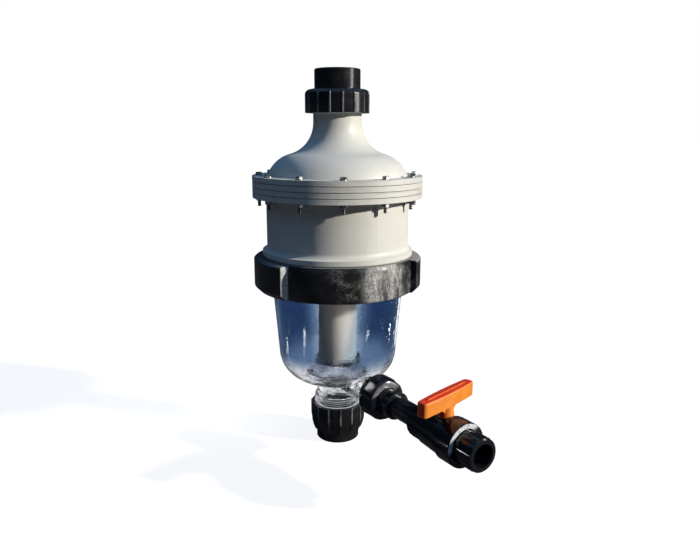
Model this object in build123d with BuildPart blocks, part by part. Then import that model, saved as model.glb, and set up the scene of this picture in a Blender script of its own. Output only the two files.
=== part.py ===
"""Centrifugal water filter: a bolted cyclone head, a clear sediment bowl and a valved drain.

Millimetres. The origin is the centre of the bottom face of the inlet union, +Z runs up the
main axis and +X runs out along the drain line.
"""

import os
from math import acos, asin, cos, pi, sin, sqrt

from build123d import *

os.makedirs("parts", exist_ok=True)

# Main sizes
FLANGE_RADIUS = 140.0
BODY_LENGTH = 77.9
DOME_RISE = 84.2
BOWL_DEPTH = 164.0

# Clearances
THREAD_CLEARANCE = 0.10
FACE_GAP = 0.30
LOOSE_GAP = 0.50
SEAL_GAP = 0.05
SOCKET_CLEARANCE = 0.10

# Main pipe connections, for pipe of 60.3 mm outside diameter
PIPE_RADIUS = 30.15
PIPE_DEPTH = 27.0
TAIL_WALL = 6.85
TAIL_STEP = 4.25
TAIL_FLANGE_THICKNESS = 6.0
TAIL_EDGE = 1.5
FACE_ORING_INSET = 7.5
FACE_ORING_SECTION = 1.75
NUT_LIP_GAP = 0.5
NUT_RIB_WIDTH = 3.0
NUT_RIB_HEIGHT = 1.3
NUT_RIM = 2.2

# Inlet union nut, a long bell with ribs
INLET_SPIGOT_STEP = 3.9
INLET_SPIGOT_LENGTH = 26.5
INLET_NUT_WALL = 6.8
INLET_NUT_NEAR = 16.5
INLET_NUT_SHOULDER = 29.0
INLET_NUT_LENGTH = 49.5
INLET_NUT_LIP = 13.5
INLET_NUT_RIBS = 14

# Outlet union nut, shorter and wider
OUTLET_SPIGOT_STEP = 8.9
OUTLET_NUT_WALL = 6.6
OUTLET_NUT_NEAR = 31.0
OUTLET_NUT_SHOULDER = 8.5
OUTLET_NUT_LENGTH = 37.3
OUTLET_NUT_LIP = 7.0
OUTLET_NUT_RIBS = 16
SPIGOT_RELIEF = 2.0

# Bolted flange stack
FLANGE_OVERHANG = 22.0
BODY_FLANGE_THICKNESS = 8.0
GASKET_THICKNESS = 1.2
PACK_FLANGE_THICKNESS = 7.5
PLATE_THICKNESS = 8.0
DOME_FLANGE_THICKNESS = 7.8
GASKET_INSET = 1.0
GASKET_LAND = 1.0
PAD_GAP = 1.0
BOLT_EDGE = 11.0
BOLT_COUNT = 12
BOLT_START_ANGLE = 2.5
BOLT_RADIUS = 3.0
BOLT_HOLE_GAP = 0.3
BOLT_HEAD_FLATS = 10.0
BOLT_HEAD_HEIGHT = 4.0
BOLT_TAIL = 15.5
NUT_FLATS = 10.0
NUT_HEIGHT = 5.0
WASHER_RADIUS = 6.0
WASHER_THICKNESS = 1.4

# Dome
DOME_WALL = 6.0
DOME_FOOT_STEP = 3.0
DOME_INNER_SHIFT = 1.5
DOME_INFLECTION_WIDTH_SHARE = 0.5106
DOME_INFLECTION_HEIGHT_SHARE = 0.4062
NECK_STEP = 6.6
NECK_WALL = 9.9
NECK_LENGTH = 15.5
NECK_SHOW = 0.8

# Cyclones
CYCLONE_COUNT = 16
CYCLONE_WALL = 3.0
CYCLONE_GAP = 1.34
CYCLONE_MARGIN = 7.5
CYCLONE_HEAD_DEPTH = 40.0
CYCLONE_CONE_LENGTH = 96.0
CYCLONE_APEX_BORE = 4.0
CYCLONE_INLET_WIDTH = 5.5
CYCLONE_INLET_HEIGHT = 16.0
CYCLONE_INLET_DROP = 3.0
BASIN_OVERLAP = 1.5
BASIN_WALL = 9.0
BASIN_FLOOR = 5.0
FINDER_RADIUS = 6.5
FINDER_WALL = 1.9
FINDER_DEPTH = 26.0

# Riser tube
RISER_STEP = 1.0
RISER_WALL = 4.0
RISER_LIFT = 32.5
RISER_SOCKET_DEPTH = 18.0
RISER_SOCKET_WALL = 4.5
RISER_SEAL_HEIGHT = 5.5
RISER_SEAL_INSET = 1.0
RISER_SEAL_WALL = 1.6
RISER_SEAL_LIP = 2.5

# Body
BODY_WALL = 6.0
LIP_OVERHANG = 7.5
LIP_HEIGHT = 9.5
LIP_FLARE = 9.0
LIP_EDGE = 2.0
SKIRT_STEP = 3.5
FLANGE_ROOT_FILLET = 3.0

# Lock ring
RING_HEIGHT = 56.0
RING_WALL = 8.4
RING_TOP_STEP = 3.0
RING_CHAMFER = 6.5
RING_LIP_THICKNESS = 10.0
RING_EDGE = 1.5
GRIP_DEPTH = 10.5
GRIP_ANGLE = 77.5
GRIP_CENTRE_ANGLE = 73.5
GRIP_LOWER_CHAMFER = 8.0
GRIP_UPPER_CHAMFER = 3.0
GRIP_COUNT = 2

# Sediment bowl
BOWL_INSET = 21.8
BOWL_GAUGE_RISE = 39.0
BOWL_SLOPE = 0.085
BOWL_WALL = 5.0
BOWL_FLAT = 1.06
BOWL_FLOOR = 6.0
BOWL_RIM_THICKNESS = 12.0
BOWL_RIM_INSET = 1.5
BOWL_NECK_STEP = 5.0
BOWL_NECK_WALL = 8.0
BOWL_NECK_LENGTH = 48.5
BOWL_NECK_FILLET = 9.0
BEAD_EDGE = 1.2
BOWL_SOCKET_WALL = 4.0
BOWL_SOCKET_RISE = 7.5
BOWL_ORING_INSET = 2.5
BOWL_ORING_SECTION = 2.2

# Drain port and drain union
DRAIN_RISE = 7.3
PORT_WALL = 8.7
PORT_BORE_START = 56.0
DRAIN_SPIGOT_SHOW = 12.3
DRAIN_SPIGOT_LENGTH = 24.0
DRAIN_SPIGOT_STEP = 8.5
DRAIN_NUT_WALL = 5.2
DRAIN_NUT_SETBACK = 8.0
DRAIN_NUT_LENGTH = 30.0
DRAIN_NUT_SHOULDER = 8.0
DRAIN_NUT_FACE_STEP = 6.0
DRAIN_NUT_PANELS = 8
DRAIN_NUT_PANEL_WIDTH = 15.5
DRAIN_NUT_PANEL_INSET = 3.5
DRAIN_NUT_PANEL_DEPTH = 2.2
DRAIN_TAIL_WALL = 3.65
DRAIN_TAIL_LENGTH = 41.0
DRAIN_TAIL_FLANGE = 5.0
DRAIN_BEAD_HEIGHT = 1.7
DRAIN_BEAD_LENGTH = 9.0
NUT_EDGE = 1.0

# Drain pipe of 33.5 mm outside diameter
DRAIN_PIPE_RADIUS = 16.75
DRAIN_PIPE_WALL = 3.45
DRAIN_PIPE_DEPTH = 22.0
NIPPLE_SHOW = 54.0

# Drain valve, with distances along the line measured from the stem
BALL_RADIUS = 20.0
BALL_CLEARANCE = 0.05
BALL_WALL = 7.5
VALVE_INLET_WALL = 8.15
VALVE_OUTLET_WALL = 6.95
VALVE_RIBS = 20
VALVE_RIB_HEIGHT = 0.9
VALVE_RIB_WIDTH = 2.4
VALVE_RIB_MARGIN = 4.0
VALVE_SOCKET_LENGTH = 25.0
VALVE_INLET_REACH = 57.0
VALVE_OUTLET_REACH = 77.0
VALVE_SHOULDER = 3.0
VALVE_CAVITY_GAP = 3.0
VALVE_NECK_WALL = 4.5
VALVE_BODY_WALL = 6.5
VALVE_SPIGOT_WALL = 5.8
VALVE_TAPER_REACH = 4.0
VALVE_SPIGOT_REACH = 13.5
VALVE_SPIGOT_LENGTH = 20.5
VALVE_FLANGE_THICKNESS = 6.0
VALVE_NUT_WALL = 3.6
VALVE_NUT_LIP = 3.7
VALVE_NUT_ROUND = 2.0
SEAT_STEP = 1.3
SEAT_DEPTH = 6.0
END_ORING_SECTION = 1.4
END_ORING_REACH = 21.0
STEM_RADIUS = 6.5
STEM_CLEARANCE = 0.05
STEM_SQUARE = 8.5
STEM_TONGUE_WIDTH = 5.5
STEM_TONGUE_DEPTH = 4.5
STEM_FLANGE_STEP = 2.0
STEM_FLANGE_THICKNESS = 2.2
STEM_FLANGE_LIFT = 2.7
STEM_ORING_SECTION = 1.2
STEM_ORING_DROP = 2.6
SPOT_FACE_WALL = 5.0
SPOT_FACE_MARGIN = 0.7

# T-handle
HANDLE_ANGLE = 104.6
HANDLE_LENGTH = 118.0
HANDLE_WIDTH = 20.0
HANDLE_TIP_WIDTH = 15.5
HANDLE_LIFT = 15.9
HANDLE_THICKNESS = 20.5
HANDLE_CAP = 8.0
HANDLE_EDGE = 2.2
HANDLE_CORNER = 6.0
HANDLE_HUB_RADIUS = 12.6
HANDLE_HUB_TAPER = 2.2
HANDLE_GUSSET_REACH = 20.0
HANDLE_GUSSET_DROP = 8.0
HANDLE_GUSSET_WIDTH = 12.0
HANDLE_RIDGE_LENGTH = 88.0
HANDLE_RIDGE_WIDTH = 2.4
HANDLE_RIDGE_HEIGHT = 1.0

# Radii round the main axis, outwards from the pipe and inwards from the flange
main_socket = PIPE_RADIUS + SOCKET_CLEARANCE
tail_radius = main_socket + TAIL_WALL
tail_bore = main_socket - TAIL_STEP
face_oring_radius = tail_bore + FACE_ORING_INSET
inlet_spigot_radius = tail_radius + INLET_SPIGOT_STEP
inlet_bore = inlet_spigot_radius + THREAD_CLEARANCE
inlet_nut_radius = inlet_bore + INLET_NUT_WALL
outlet_spigot_radius = tail_radius + OUTLET_SPIGOT_STEP
outlet_bore = outlet_spigot_radius + THREAD_CLEARANCE
outlet_nut_radius = outlet_bore + OUTLET_NUT_WALL
neck_radius = outlet_spigot_radius - NECK_STEP
neck_bore = neck_radius - NECK_WALL
bowl_neck_radius = inlet_spigot_radius - BOWL_NECK_STEP
bowl_neck_bore = bowl_neck_radius - BOWL_NECK_WALL
riser_bore = bowl_neck_bore + RISER_STEP
riser_radius = riser_bore + RISER_WALL
riser_seal_inner = riser_bore + RISER_SEAL_INSET
riser_seal_outer = riser_radius + RISER_SEAL_WALL
bolt_circle_radius = FLANGE_RADIUS - BOLT_EDGE
bolt_hole_radius = BOLT_RADIUS + BOLT_HOLE_GAP
body_radius = FLANGE_RADIUS - FLANGE_OVERHANG
body_bore = body_radius - BODY_WALL
gasket_outer = FLANGE_RADIUS - GASKET_INSET
gasket_inner = body_bore + GASKET_LAND
dome_foot_radius = body_radius - DOME_FOOT_STEP
lip_radius = body_radius + LIP_OVERHANG
skirt_radius = body_radius + SKIRT_STEP
thread_bore = skirt_radius + THREAD_CLEARANCE
ring_radius = thread_bore + RING_WALL
ring_top_radius = ring_radius - RING_TOP_STEP
grip_radius = ring_radius + GRIP_DEPTH
bowl_radius = skirt_radius - BOWL_INSET
bowl_rim_radius = skirt_radius - BOWL_RIM_INSET
bowl_oring_radius = body_radius - BOWL_ORING_INSET
cyclone_reach = body_bore - CYCLONE_MARGIN
cyclone_share = sin(pi / CYCLONE_COUNT)
cyclone_circle_radius = (cyclone_reach + CYCLONE_GAP / 2) / (1 + cyclone_share)
head_radius = cyclone_reach - cyclone_circle_radius
cyclone_bore = head_radius - CYCLONE_WALL
tip_radius = CYCLONE_APEX_BORE + CYCLONE_WALL
basin_outer = cyclone_circle_radius - head_radius + BASIN_OVERLAP
basin_radius = basin_outer - BASIN_WALL

# Levels from the inlet up to the top
inlet_nut_shoulder = INLET_NUT_NEAR + INLET_NUT_SHOULDER
inlet_nut_far = INLET_NUT_NEAR + INLET_NUT_LENGTH
inlet_flange_start = INLET_NUT_NEAR + INLET_NUT_LIP
inlet_face = inlet_flange_start + TAIL_FLANGE_THICKNESS
bead_top = inlet_face + INLET_SPIGOT_LENGTH
bowl_bottom = bead_top + BOWL_NECK_LENGTH
floor_top = bowl_bottom + BOWL_FLOOR
bowl_gauge_height = bowl_bottom + BOWL_GAUGE_RISE
drain_height = bowl_bottom + DRAIN_RISE
riser_bottom = bowl_bottom + RISER_LIFT
seal_bottom = riser_bottom - RISER_SEAL_HEIGHT
bowl_socket_top = riser_bottom + BOWL_SOCKET_RISE
ring_bottom = bowl_bottom + BOWL_DEPTH
ring_seat = ring_bottom + RING_LIP_THICKNESS
rim_bottom = ring_seat + FACE_GAP
rim_top = rim_bottom + BOWL_RIM_THICKNESS
ring_top = ring_bottom + RING_HEIGHT
lip_bottom = ring_top + LOOSE_GAP
lip_top = lip_bottom + LIP_HEIGHT
lip_flare_top = lip_top + LIP_FLARE
flange_bottom = lip_flare_top + BODY_LENGTH
body_flange_top = flange_bottom + BODY_FLANGE_THICKNESS
pack_bottom = body_flange_top + GASKET_THICKNESS
pack_top = pack_bottom + PACK_FLANGE_THICKNESS
plate_bottom = pack_top + GASKET_THICKNESS
plate_top = plate_bottom + PLATE_THICKNESS
dome_bottom = plate_top + GASKET_THICKNESS
dome_flange_top = dome_bottom + DOME_FLANGE_THICKNESS
dome_flare_top = dome_flange_top + DOME_RISE
neck_top = dome_flare_top + NECK_LENGTH
outlet_nut_shoulder = OUTLET_NUT_NEAR + OUTLET_NUT_SHOULDER
outlet_nut_far = OUTLET_NUT_NEAR + OUTLET_NUT_LENGTH
outlet_flange_start = OUTLET_NUT_NEAR + OUTLET_NUT_LIP
outlet_face = outlet_flange_start + TAIL_FLANGE_THICKNESS
total_height = neck_top - NECK_SHOW + outlet_nut_far
spigot_top = total_height - outlet_face
basin_bottom = pack_top - CYCLONE_HEAD_DEPTH
riser_top = basin_bottom - BASIN_FLOOR

# Corner of the bowl, which meets the flat round the neck and the tapered wall
bowl_floor_edge = bowl_neck_radius + BOWL_NECK_FILLET + BOWL_FLAT
corner_slack = BOWL_SLOPE * (bowl_bottom - bowl_gauge_height - bowl_floor_edge)
corner_radius = (bowl_radius + corner_slack) / (1 - BOWL_SLOPE)
bowl_corner = corner_radius - bowl_floor_edge
corner_height = bowl_bottom + bowl_corner

# Radii and distances along the drain line
drain_socket = DRAIN_PIPE_RADIUS + SOCKET_CLEARANCE
drain_pipe_bore = DRAIN_PIPE_RADIUS - DRAIN_PIPE_WALL
port_bore = drain_pipe_bore
port_radius = port_bore + PORT_WALL
drain_oring_radius = port_radius
drain_tail_radius = drain_socket + DRAIN_TAIL_WALL
drain_bead_radius = drain_tail_radius + DRAIN_BEAD_HEIGHT
drain_spigot_radius = drain_tail_radius + DRAIN_SPIGOT_STEP
drain_nut_bore = drain_spigot_radius + THREAD_CLEARANCE
drain_nut_radius = drain_nut_bore + DRAIN_NUT_WALL
drain_nut_face_radius = drain_tail_radius + DRAIN_NUT_FACE_STEP
drain_spigot_start = bowl_radius + DRAIN_SPIGOT_SHOW
drain_face = drain_spigot_start + DRAIN_SPIGOT_LENGTH
drain_nut_start = drain_spigot_start + DRAIN_NUT_SETBACK
drain_nut_end = drain_nut_start + DRAIN_NUT_LENGTH
drain_nut_shoulder = drain_nut_end - DRAIN_NUT_SHOULDER
drain_nut_panel_start = drain_nut_start + DRAIN_NUT_PANEL_INSET
drain_tail_end = drain_face + DRAIN_TAIL_LENGTH
valve_start = drain_tail_end + NIPPLE_SHOW
valve_body_start = valve_start + VALVE_SOCKET_LENGTH
valve_stem_x = valve_start + VALVE_INLET_REACH
valve_taper_end = valve_stem_x + VALVE_TAPER_REACH
valve_spigot_start = valve_stem_x + VALVE_SPIGOT_REACH
valve_spigot_end = valve_spigot_start + VALVE_SPIGOT_LENGTH
end_flange_far = valve_spigot_end + VALVE_FLANGE_THICKNESS
valve_lip_start = end_flange_far + FACE_GAP
valve_nut_start = valve_spigot_start + LOOSE_GAP
valve_nut_end = valve_lip_start + VALVE_NUT_LIP
valve_reach = valve_stem_x + VALVE_OUTLET_REACH
end_oring_start = valve_stem_x + END_ORING_REACH
valve_inlet_radius = drain_socket + VALVE_INLET_WALL
valve_outlet_radius = drain_socket + VALVE_OUTLET_WALL
valve_bore = BALL_RADIUS - BALL_WALL
valve_cavity_radius = BALL_RADIUS + VALVE_CAVITY_GAP
valve_neck_radius = valve_cavity_radius + VALVE_NECK_WALL
valve_body_radius = valve_cavity_radius + VALVE_BODY_WALL
valve_spigot_radius = valve_cavity_radius + VALVE_SPIGOT_WALL
valve_nut_bore = valve_spigot_radius + THREAD_CLEARANCE
valve_nut_radius = valve_nut_bore + VALVE_NUT_WALL
seat_outer = BALL_RADIUS
seat_inner = valve_bore + SEAT_STEP
seat_front = BALL_RADIUS - BALL_WALL
seat_back = seat_front + SEAT_DEPTH

# Levels of the stem and the handle
stem_flange_radius = STEM_RADIUS + STEM_FLANGE_STEP
stem_rise = BALL_RADIUS + STEM_FLANGE_LIFT
stem_shoulder = drain_height + stem_rise
spot_face_rise = valve_cavity_radius + SPOT_FACE_WALL
spot_face = drain_height + spot_face_rise
spot_face_radius = HANDLE_HUB_RADIUS + SPOT_FACE_MARGIN
stem_oring_height = spot_face - STEM_ORING_DROP
hub_bottom = spot_face + FACE_GAP
handle_bottom = hub_bottom + HANDLE_LIFT
handle_top = handle_bottom + HANDLE_THICKNESS
stem_top = handle_top - HANDLE_CAP
hub_top_radius = HANDLE_HUB_RADIUS - HANDLE_HUB_TAPER

# Lines that the pieces are turned about
main_line = Plane.XY
outlet_line = Plane(origin=(0, 0, total_height), x_dir=(1, 0, 0), z_dir=(0, 0, -1))
drain_line = Plane(origin=(0, 0, drain_height), x_dir=(0, 0, 1), z_dir=(1, 0, 0))


def half_plane(line, angle=0):
    """Plane through a line: local x runs outwards at an angle, local y runs along the line."""
    outwards = line.x_dir.rotate(Axis((0, 0, 0), line.z_dir), angle)
    along = line.z_dir
    return Plane(origin=line.origin, x_dir=outwards, z_dir=outwards.cross(along))


def axis_of(line):
    """Axis that runs along a line's z direction."""
    return Axis(line.origin, line.z_dir)


def across(line, distance):
    """Plane square to a line, at a distance along it."""
    return line.offset(distance)


def turned(line, *corners):
    """Solid turned about a line from its (radius, distance) corners."""
    with BuildPart() as piece:
        with BuildSketch(half_plane(line)):
            with BuildLine():
                Polyline(*corners, close=True)
            make_face()
        revolve(axis=axis_of(line))
    return piece.part


def ring_seal(line, radius, section, distance):
    """O-ring of a given section round a line."""
    with BuildPart() as piece:
        with BuildSketch(half_plane(line)):
            with Locations((radius, distance)):
                Circle(section)
        revolve(axis=axis_of(line))
    return piece.part


def finish(name, part):
    """Label a finished piece and write its STEP file."""
    part.label = name
    export_step(part, f"parts/{name}.step")


def union_tail(line, flange_start, flange_radius):
    """Main pipe socket with the flange that the union nut pulls on, measured from its open end."""
    face = flange_start + TAIL_FLANGE_THICKNESS
    groove_inner = face_oring_radius - FACE_ORING_SECTION - SEAL_GAP
    groove_outer = face_oring_radius + FACE_ORING_SECTION + SEAL_GAP
    groove_floor = face - 2 * FACE_ORING_SECTION
    return turned(
        line,
        (main_socket, 0),
        (tail_radius - TAIL_EDGE, 0),
        (tail_radius, TAIL_EDGE),
        (tail_radius, flange_start),
        (flange_radius, flange_start),
        (flange_radius, face),
        (groove_outer, face),
        (groove_outer, groove_floor),
        (groove_inner, groove_floor),
        (groove_inner, face),
        (tail_bore, face),
        (tail_bore, PIPE_DEPTH),
        (main_socket, PIPE_DEPTH),
    )


def nut_side(radius, far, shoulder, near_radius, near):
    """Outer side of a union nut: straight from its far end, then a bell or a short round shoulder."""
    Line((radius, far), (radius, shoulder))
    depth = radius - near_radius
    height = shoulder - near
    if height > depth:
        TangentArc((radius, shoulder), (near_radius, near), tangent=(0, -1))
    else:
        EllipticalCenterArc((near_radius, shoulder), depth, height, start_angle=270, arc_size=90)


def union_nut(line, radius, near, far, shoulder, lip, bore, rib_count):
    """Ribbed union nut, measured from the open end of the tail that it holds."""
    core = radius - NUT_RIB_HEIGHT
    lip_bore = tail_radius + NUT_LIP_GAP
    near_radius = lip_bore + NUT_RIM
    rib_root = bore + NUT_RIM / 2
    tip_root = lip_bore + NUT_RIM / 2
    with BuildPart() as piece:
        with BuildSketch(half_plane(line)):
            with BuildLine():
                nut_side(core, far, shoulder, near_radius, near)
                Polyline(
                    (near_radius, near),
                    (lip_bore, near),
                    (lip_bore, near + lip),
                    (bore, near + lip),
                    (bore, far),
                    (core, far),
                )
            make_face()
        revolve(axis=axis_of(line))
        for index in range(rib_count):
            with BuildSketch(half_plane(line, index * 360 / rib_count)):
                with BuildLine():
                    tip = near_radius + NUT_RIB_HEIGHT
                    nut_side(radius, far, shoulder, tip, near)
                    Polyline(
                        (tip, near),
                        (tip_root, near),
                        (rib_root, near + lip),
                        (rib_root, far),
                        (radius, far),
                    )
                make_face()
        extrude(amount=NUT_RIB_WIDTH / 2, both=True)
    return piece.part


# Inlet union
inlet_union_tail = union_tail(main_line, inlet_flange_start, inlet_spigot_radius - LOOSE_GAP)
inlet_union_nut = union_nut(
    main_line,
    inlet_nut_radius,
    INLET_NUT_NEAR,
    inlet_nut_far,
    inlet_nut_shoulder,
    INLET_NUT_LIP - FACE_GAP,
    inlet_bore,
    INLET_NUT_RIBS,
)
inlet_oring = ring_seal(
    main_line, face_oring_radius, FACE_ORING_SECTION, inlet_face - FACE_ORING_SECTION
)
finish("inlet_union_tail", inlet_union_tail)
finish("inlet_union_nut", inlet_union_nut)
finish("inlet_oring", inlet_oring)

# Outlet union, measured down from the top
outlet_union_tail = union_tail(outlet_line, outlet_flange_start, outlet_spigot_radius - LOOSE_GAP)
outlet_union_nut = union_nut(
    outlet_line,
    outlet_nut_radius,
    OUTLET_NUT_NEAR,
    outlet_nut_far,
    outlet_nut_shoulder,
    OUTLET_NUT_LIP - FACE_GAP,
    outlet_bore,
    OUTLET_NUT_RIBS,
)
outlet_oring = ring_seal(
    outlet_line, face_oring_radius, FACE_ORING_SECTION, outlet_face - FACE_ORING_SECTION
)
finish("outlet_union_tail", outlet_union_tail)
finish("outlet_union_nut", outlet_union_nut)
finish("outlet_oring", outlet_oring)

# Outlet dome
with BuildPart() as outlet_dome:
    with BuildSketch(Plane.XZ):
        with BuildLine():
            Polyline(
                (neck_bore, spigot_top),
                (outlet_spigot_radius, spigot_top),
                (outlet_spigot_radius, neck_top + SPIGOT_RELIEF),
                (outlet_spigot_radius - SPIGOT_RELIEF, neck_top),
                (neck_radius + SPIGOT_RELIEF, neck_top),
                (neck_radius, neck_top - SPIGOT_RELIEF),
                (neck_radius, dome_flare_top),
            )
            inflection = (
                neck_radius + DOME_INFLECTION_WIDTH_SHARE * (dome_foot_radius - neck_radius),
                dome_flange_top + DOME_INFLECTION_HEIGHT_SHARE * DOME_RISE,
            )
            flare = TangentArc((neck_radius, dome_flare_top), inflection, tangent=(0, -1))
            TangentArc(inflection, (dome_foot_radius, dome_flange_top), tangent=flare % 1)
            Polyline(
                (dome_foot_radius, dome_flange_top),
                (FLANGE_RADIUS, dome_flange_top),
                (FLANGE_RADIUS, dome_bottom),
                (dome_foot_radius - DOME_WALL, dome_bottom),
                (dome_foot_radius - DOME_WALL, dome_flange_top),
            )
            inner_inflection = (
                inflection[0] - DOME_INNER_SHIFT,
                inflection[1] - DOME_WALL,
            )
            inner_flare = TangentArc((neck_bore, dome_flare_top), inner_inflection, tangent=(0, -1))
            TangentArc(
                inner_inflection,
                (dome_foot_radius - DOME_WALL, dome_flange_top),
                tangent=inner_flare % 1,
            )
            Line((neck_bore, dome_flare_top), (neck_bore, spigot_top))
        make_face()
    revolve(axis=Axis.Z)
    with BuildSketch(Plane.XY.offset(dome_bottom)):
        with PolarLocations(bolt_circle_radius, BOLT_COUNT, BOLT_START_ANGLE):
            Circle(bolt_hole_radius)
    extrude(amount=DOME_FLANGE_THICKNESS, mode=Mode.SUBTRACT)
finish("outlet_dome", outlet_dome.part)


def flange_gasket(bottom):
    """Flat ring gasket between two flange layers."""
    with BuildPart() as piece:
        with BuildSketch(Plane.XY.offset(bottom)):
            Circle(gasket_outer)
            Circle(gasket_inner, mode=Mode.SUBTRACT)
            with PolarLocations(bolt_circle_radius, BOLT_COUNT, BOLT_START_ANGLE):
                Circle(bolt_hole_radius, mode=Mode.SUBTRACT)
        extrude(amount=GASKET_THICKNESS)
    return piece.part


# Flange gaskets
finish("body_gasket", flange_gasket(body_flange_top))
finish("pack_gasket", flange_gasket(pack_top))
finish("dome_gasket", flange_gasket(plate_top))

# Vortex plate with a finder tube over each cyclone
pad_radius = gasket_inner - PAD_GAP
with BuildPart() as vortex_plate:
    with BuildSketch(Plane.XY.offset(plate_bottom)):
        Circle(FLANGE_RADIUS)
    extrude(amount=PLATE_THICKNESS)
    with BuildSketch(Plane.XY.offset(pack_top)):
        Circle(pad_radius)
    extrude(amount=GASKET_THICKNESS)
    with BuildSketch(Plane.XY.offset(pack_top)):
        with PolarLocations(cyclone_circle_radius, CYCLONE_COUNT):
            Circle(FINDER_RADIUS)
    extrude(amount=-FINDER_DEPTH)
    with BuildSketch(Plane.XY.offset(plate_top)):
        with PolarLocations(cyclone_circle_radius, CYCLONE_COUNT):
            Circle(FINDER_RADIUS - FINDER_WALL)
    extrude(amount=-(plate_top - pack_top + FINDER_DEPTH), mode=Mode.SUBTRACT)
    with BuildSketch(Plane.XY.offset(plate_bottom)):
        with PolarLocations(bolt_circle_radius, BOLT_COUNT, BOLT_START_ANGLE):
            Circle(bolt_hole_radius)
    extrude(amount=PLATE_THICKNESS, mode=Mode.SUBTRACT)
finish("vortex_plate", vortex_plate.part)

# Cyclone pack: plate, central basin, riser socket and the ring of cyclones
cone_top = pack_top - CYCLONE_HEAD_DEPTH
cone_tip = cone_top - CYCLONE_CONE_LENGTH
socket_bore = riser_radius + SEAL_GAP
socket_radius = socket_bore + RISER_SOCKET_WALL
socket_bottom = riser_top - RISER_SOCKET_DEPTH
with BuildPart() as cyclone_pack:
    with BuildSketch(Plane.XZ):
        with BuildLine():
            Polyline(
                (basin_radius, pack_top),
                (FLANGE_RADIUS, pack_top),
                (FLANGE_RADIUS, pack_bottom),
                (basin_outer, pack_bottom),
                (basin_outer, basin_bottom),
                (basin_radius, riser_top),
                (socket_radius, riser_top),
                (socket_radius, socket_bottom),
                (socket_bore, socket_bottom),
                (socket_bore, riser_top),
                (riser_bore, riser_top),
                (riser_bore, basin_bottom),
                (basin_radius, basin_bottom),
                close=True,
            )
        make_face()
    revolve(axis=Axis.Z)
    with BuildSketch(Plane.XY.offset(pack_top)):
        with PolarLocations(cyclone_circle_radius, CYCLONE_COUNT):
            Circle(head_radius)
    extrude(amount=-CYCLONE_HEAD_DEPTH)
    with PolarLocations(cyclone_circle_radius, CYCLONE_COUNT):
        with Locations((0, 0, cone_tip)):
            Cone(
                tip_radius,
                head_radius,
                CYCLONE_CONE_LENGTH,
                align=(Align.CENTER, Align.CENTER, Align.MIN),
            )
            Cone(
                CYCLONE_APEX_BORE,
                cyclone_bore,
                CYCLONE_CONE_LENGTH,
                align=(Align.CENTER, Align.CENTER, Align.MIN),
                mode=Mode.SUBTRACT,
            )
    with BuildSketch(Plane.XY.offset(pack_top)):
        with PolarLocations(cyclone_circle_radius, CYCLONE_COUNT):
            Circle(cyclone_bore)
    extrude(amount=-CYCLONE_HEAD_DEPTH, mode=Mode.SUBTRACT)
    inlet_reach = cyclone_circle_radius - basin_radius + CYCLONE_WALL
    with BuildSketch(Plane.XY.offset(pack_top - CYCLONE_INLET_DROP)):
        with PolarLocations(cyclone_circle_radius, CYCLONE_COUNT):
            with Locations((-inlet_reach / 2, cyclone_bore - CYCLONE_INLET_WIDTH / 2)):
                Rectangle(inlet_reach, CYCLONE_INLET_WIDTH)
    extrude(amount=-CYCLONE_INLET_HEIGHT, mode=Mode.SUBTRACT)
    with BuildSketch(Plane.XY.offset(pack_bottom)):
        with PolarLocations(bolt_circle_radius, BOLT_COUNT, BOLT_START_ANGLE):
            Circle(bolt_hole_radius)
    extrude(amount=PACK_FLANGE_THICKNESS, mode=Mode.SUBTRACT)
finish("cyclone_pack", cyclone_pack.part)

# Body
with BuildPart() as body_housing:
    with BuildSketch(Plane.XZ):
        with BuildLine():
            Polyline(
                (body_bore, rim_top),
                (skirt_radius, rim_top),
                (skirt_radius, lip_bottom),
                (lip_radius - LIP_EDGE, lip_bottom),
                (lip_radius, lip_bottom + LIP_EDGE),
                (lip_radius, lip_top),
            )
            TangentArc((body_radius, lip_flare_top), (lip_radius, lip_top), tangent=(0, -1))
            Polyline(
                (body_radius, lip_flare_top),
                (body_radius, flange_bottom - FLANGE_ROOT_FILLET),
                (body_radius + FLANGE_ROOT_FILLET, flange_bottom),
                (FLANGE_RADIUS, flange_bottom),
                (FLANGE_RADIUS, body_flange_top),
                (body_bore, body_flange_top),
                (body_bore, rim_top),
            )
        make_face()
    revolve(axis=Axis.Z)
    with BuildSketch(Plane.XY.offset(flange_bottom)):
        with PolarLocations(bolt_circle_radius, BOLT_COUNT, BOLT_START_ANGLE):
            Circle(bolt_hole_radius)
    extrude(amount=BODY_FLANGE_THICKNESS, mode=Mode.SUBTRACT)
finish("body_housing", body_housing.part)

# Flange bolts, nuts and washers
washer_bottom = flange_bottom - WASHER_THICKNESS
head_bottom = dome_flange_top + WASHER_THICKNESS
with BuildPart() as flange_bolts:
    with BuildSketch(Plane.XY.offset(head_bottom)):
        with PolarLocations(bolt_circle_radius, BOLT_COUNT, BOLT_START_ANGLE):
            RegularPolygon(BOLT_HEAD_FLATS / 2, 6, major_radius=False)
    extrude(amount=BOLT_HEAD_HEIGHT)
    with BuildSketch(Plane.XY.offset(head_bottom)):
        with PolarLocations(bolt_circle_radius, BOLT_COUNT, BOLT_START_ANGLE):
            Circle(BOLT_RADIUS)
    extrude(amount=-(head_bottom - flange_bottom + BOLT_TAIL))
finish("flange_bolts", flange_bolts.part)

with BuildPart() as flange_nuts:
    with BuildSketch(Plane.XY.offset(washer_bottom)):
        with PolarLocations(bolt_circle_radius, BOLT_COUNT, BOLT_START_ANGLE):
            RegularPolygon(NUT_FLATS / 2, 6, major_radius=False)
            Circle(BOLT_RADIUS + SEAL_GAP, mode=Mode.SUBTRACT)
    extrude(amount=-NUT_HEIGHT)
finish("flange_nuts", flange_nuts.part)

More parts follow.
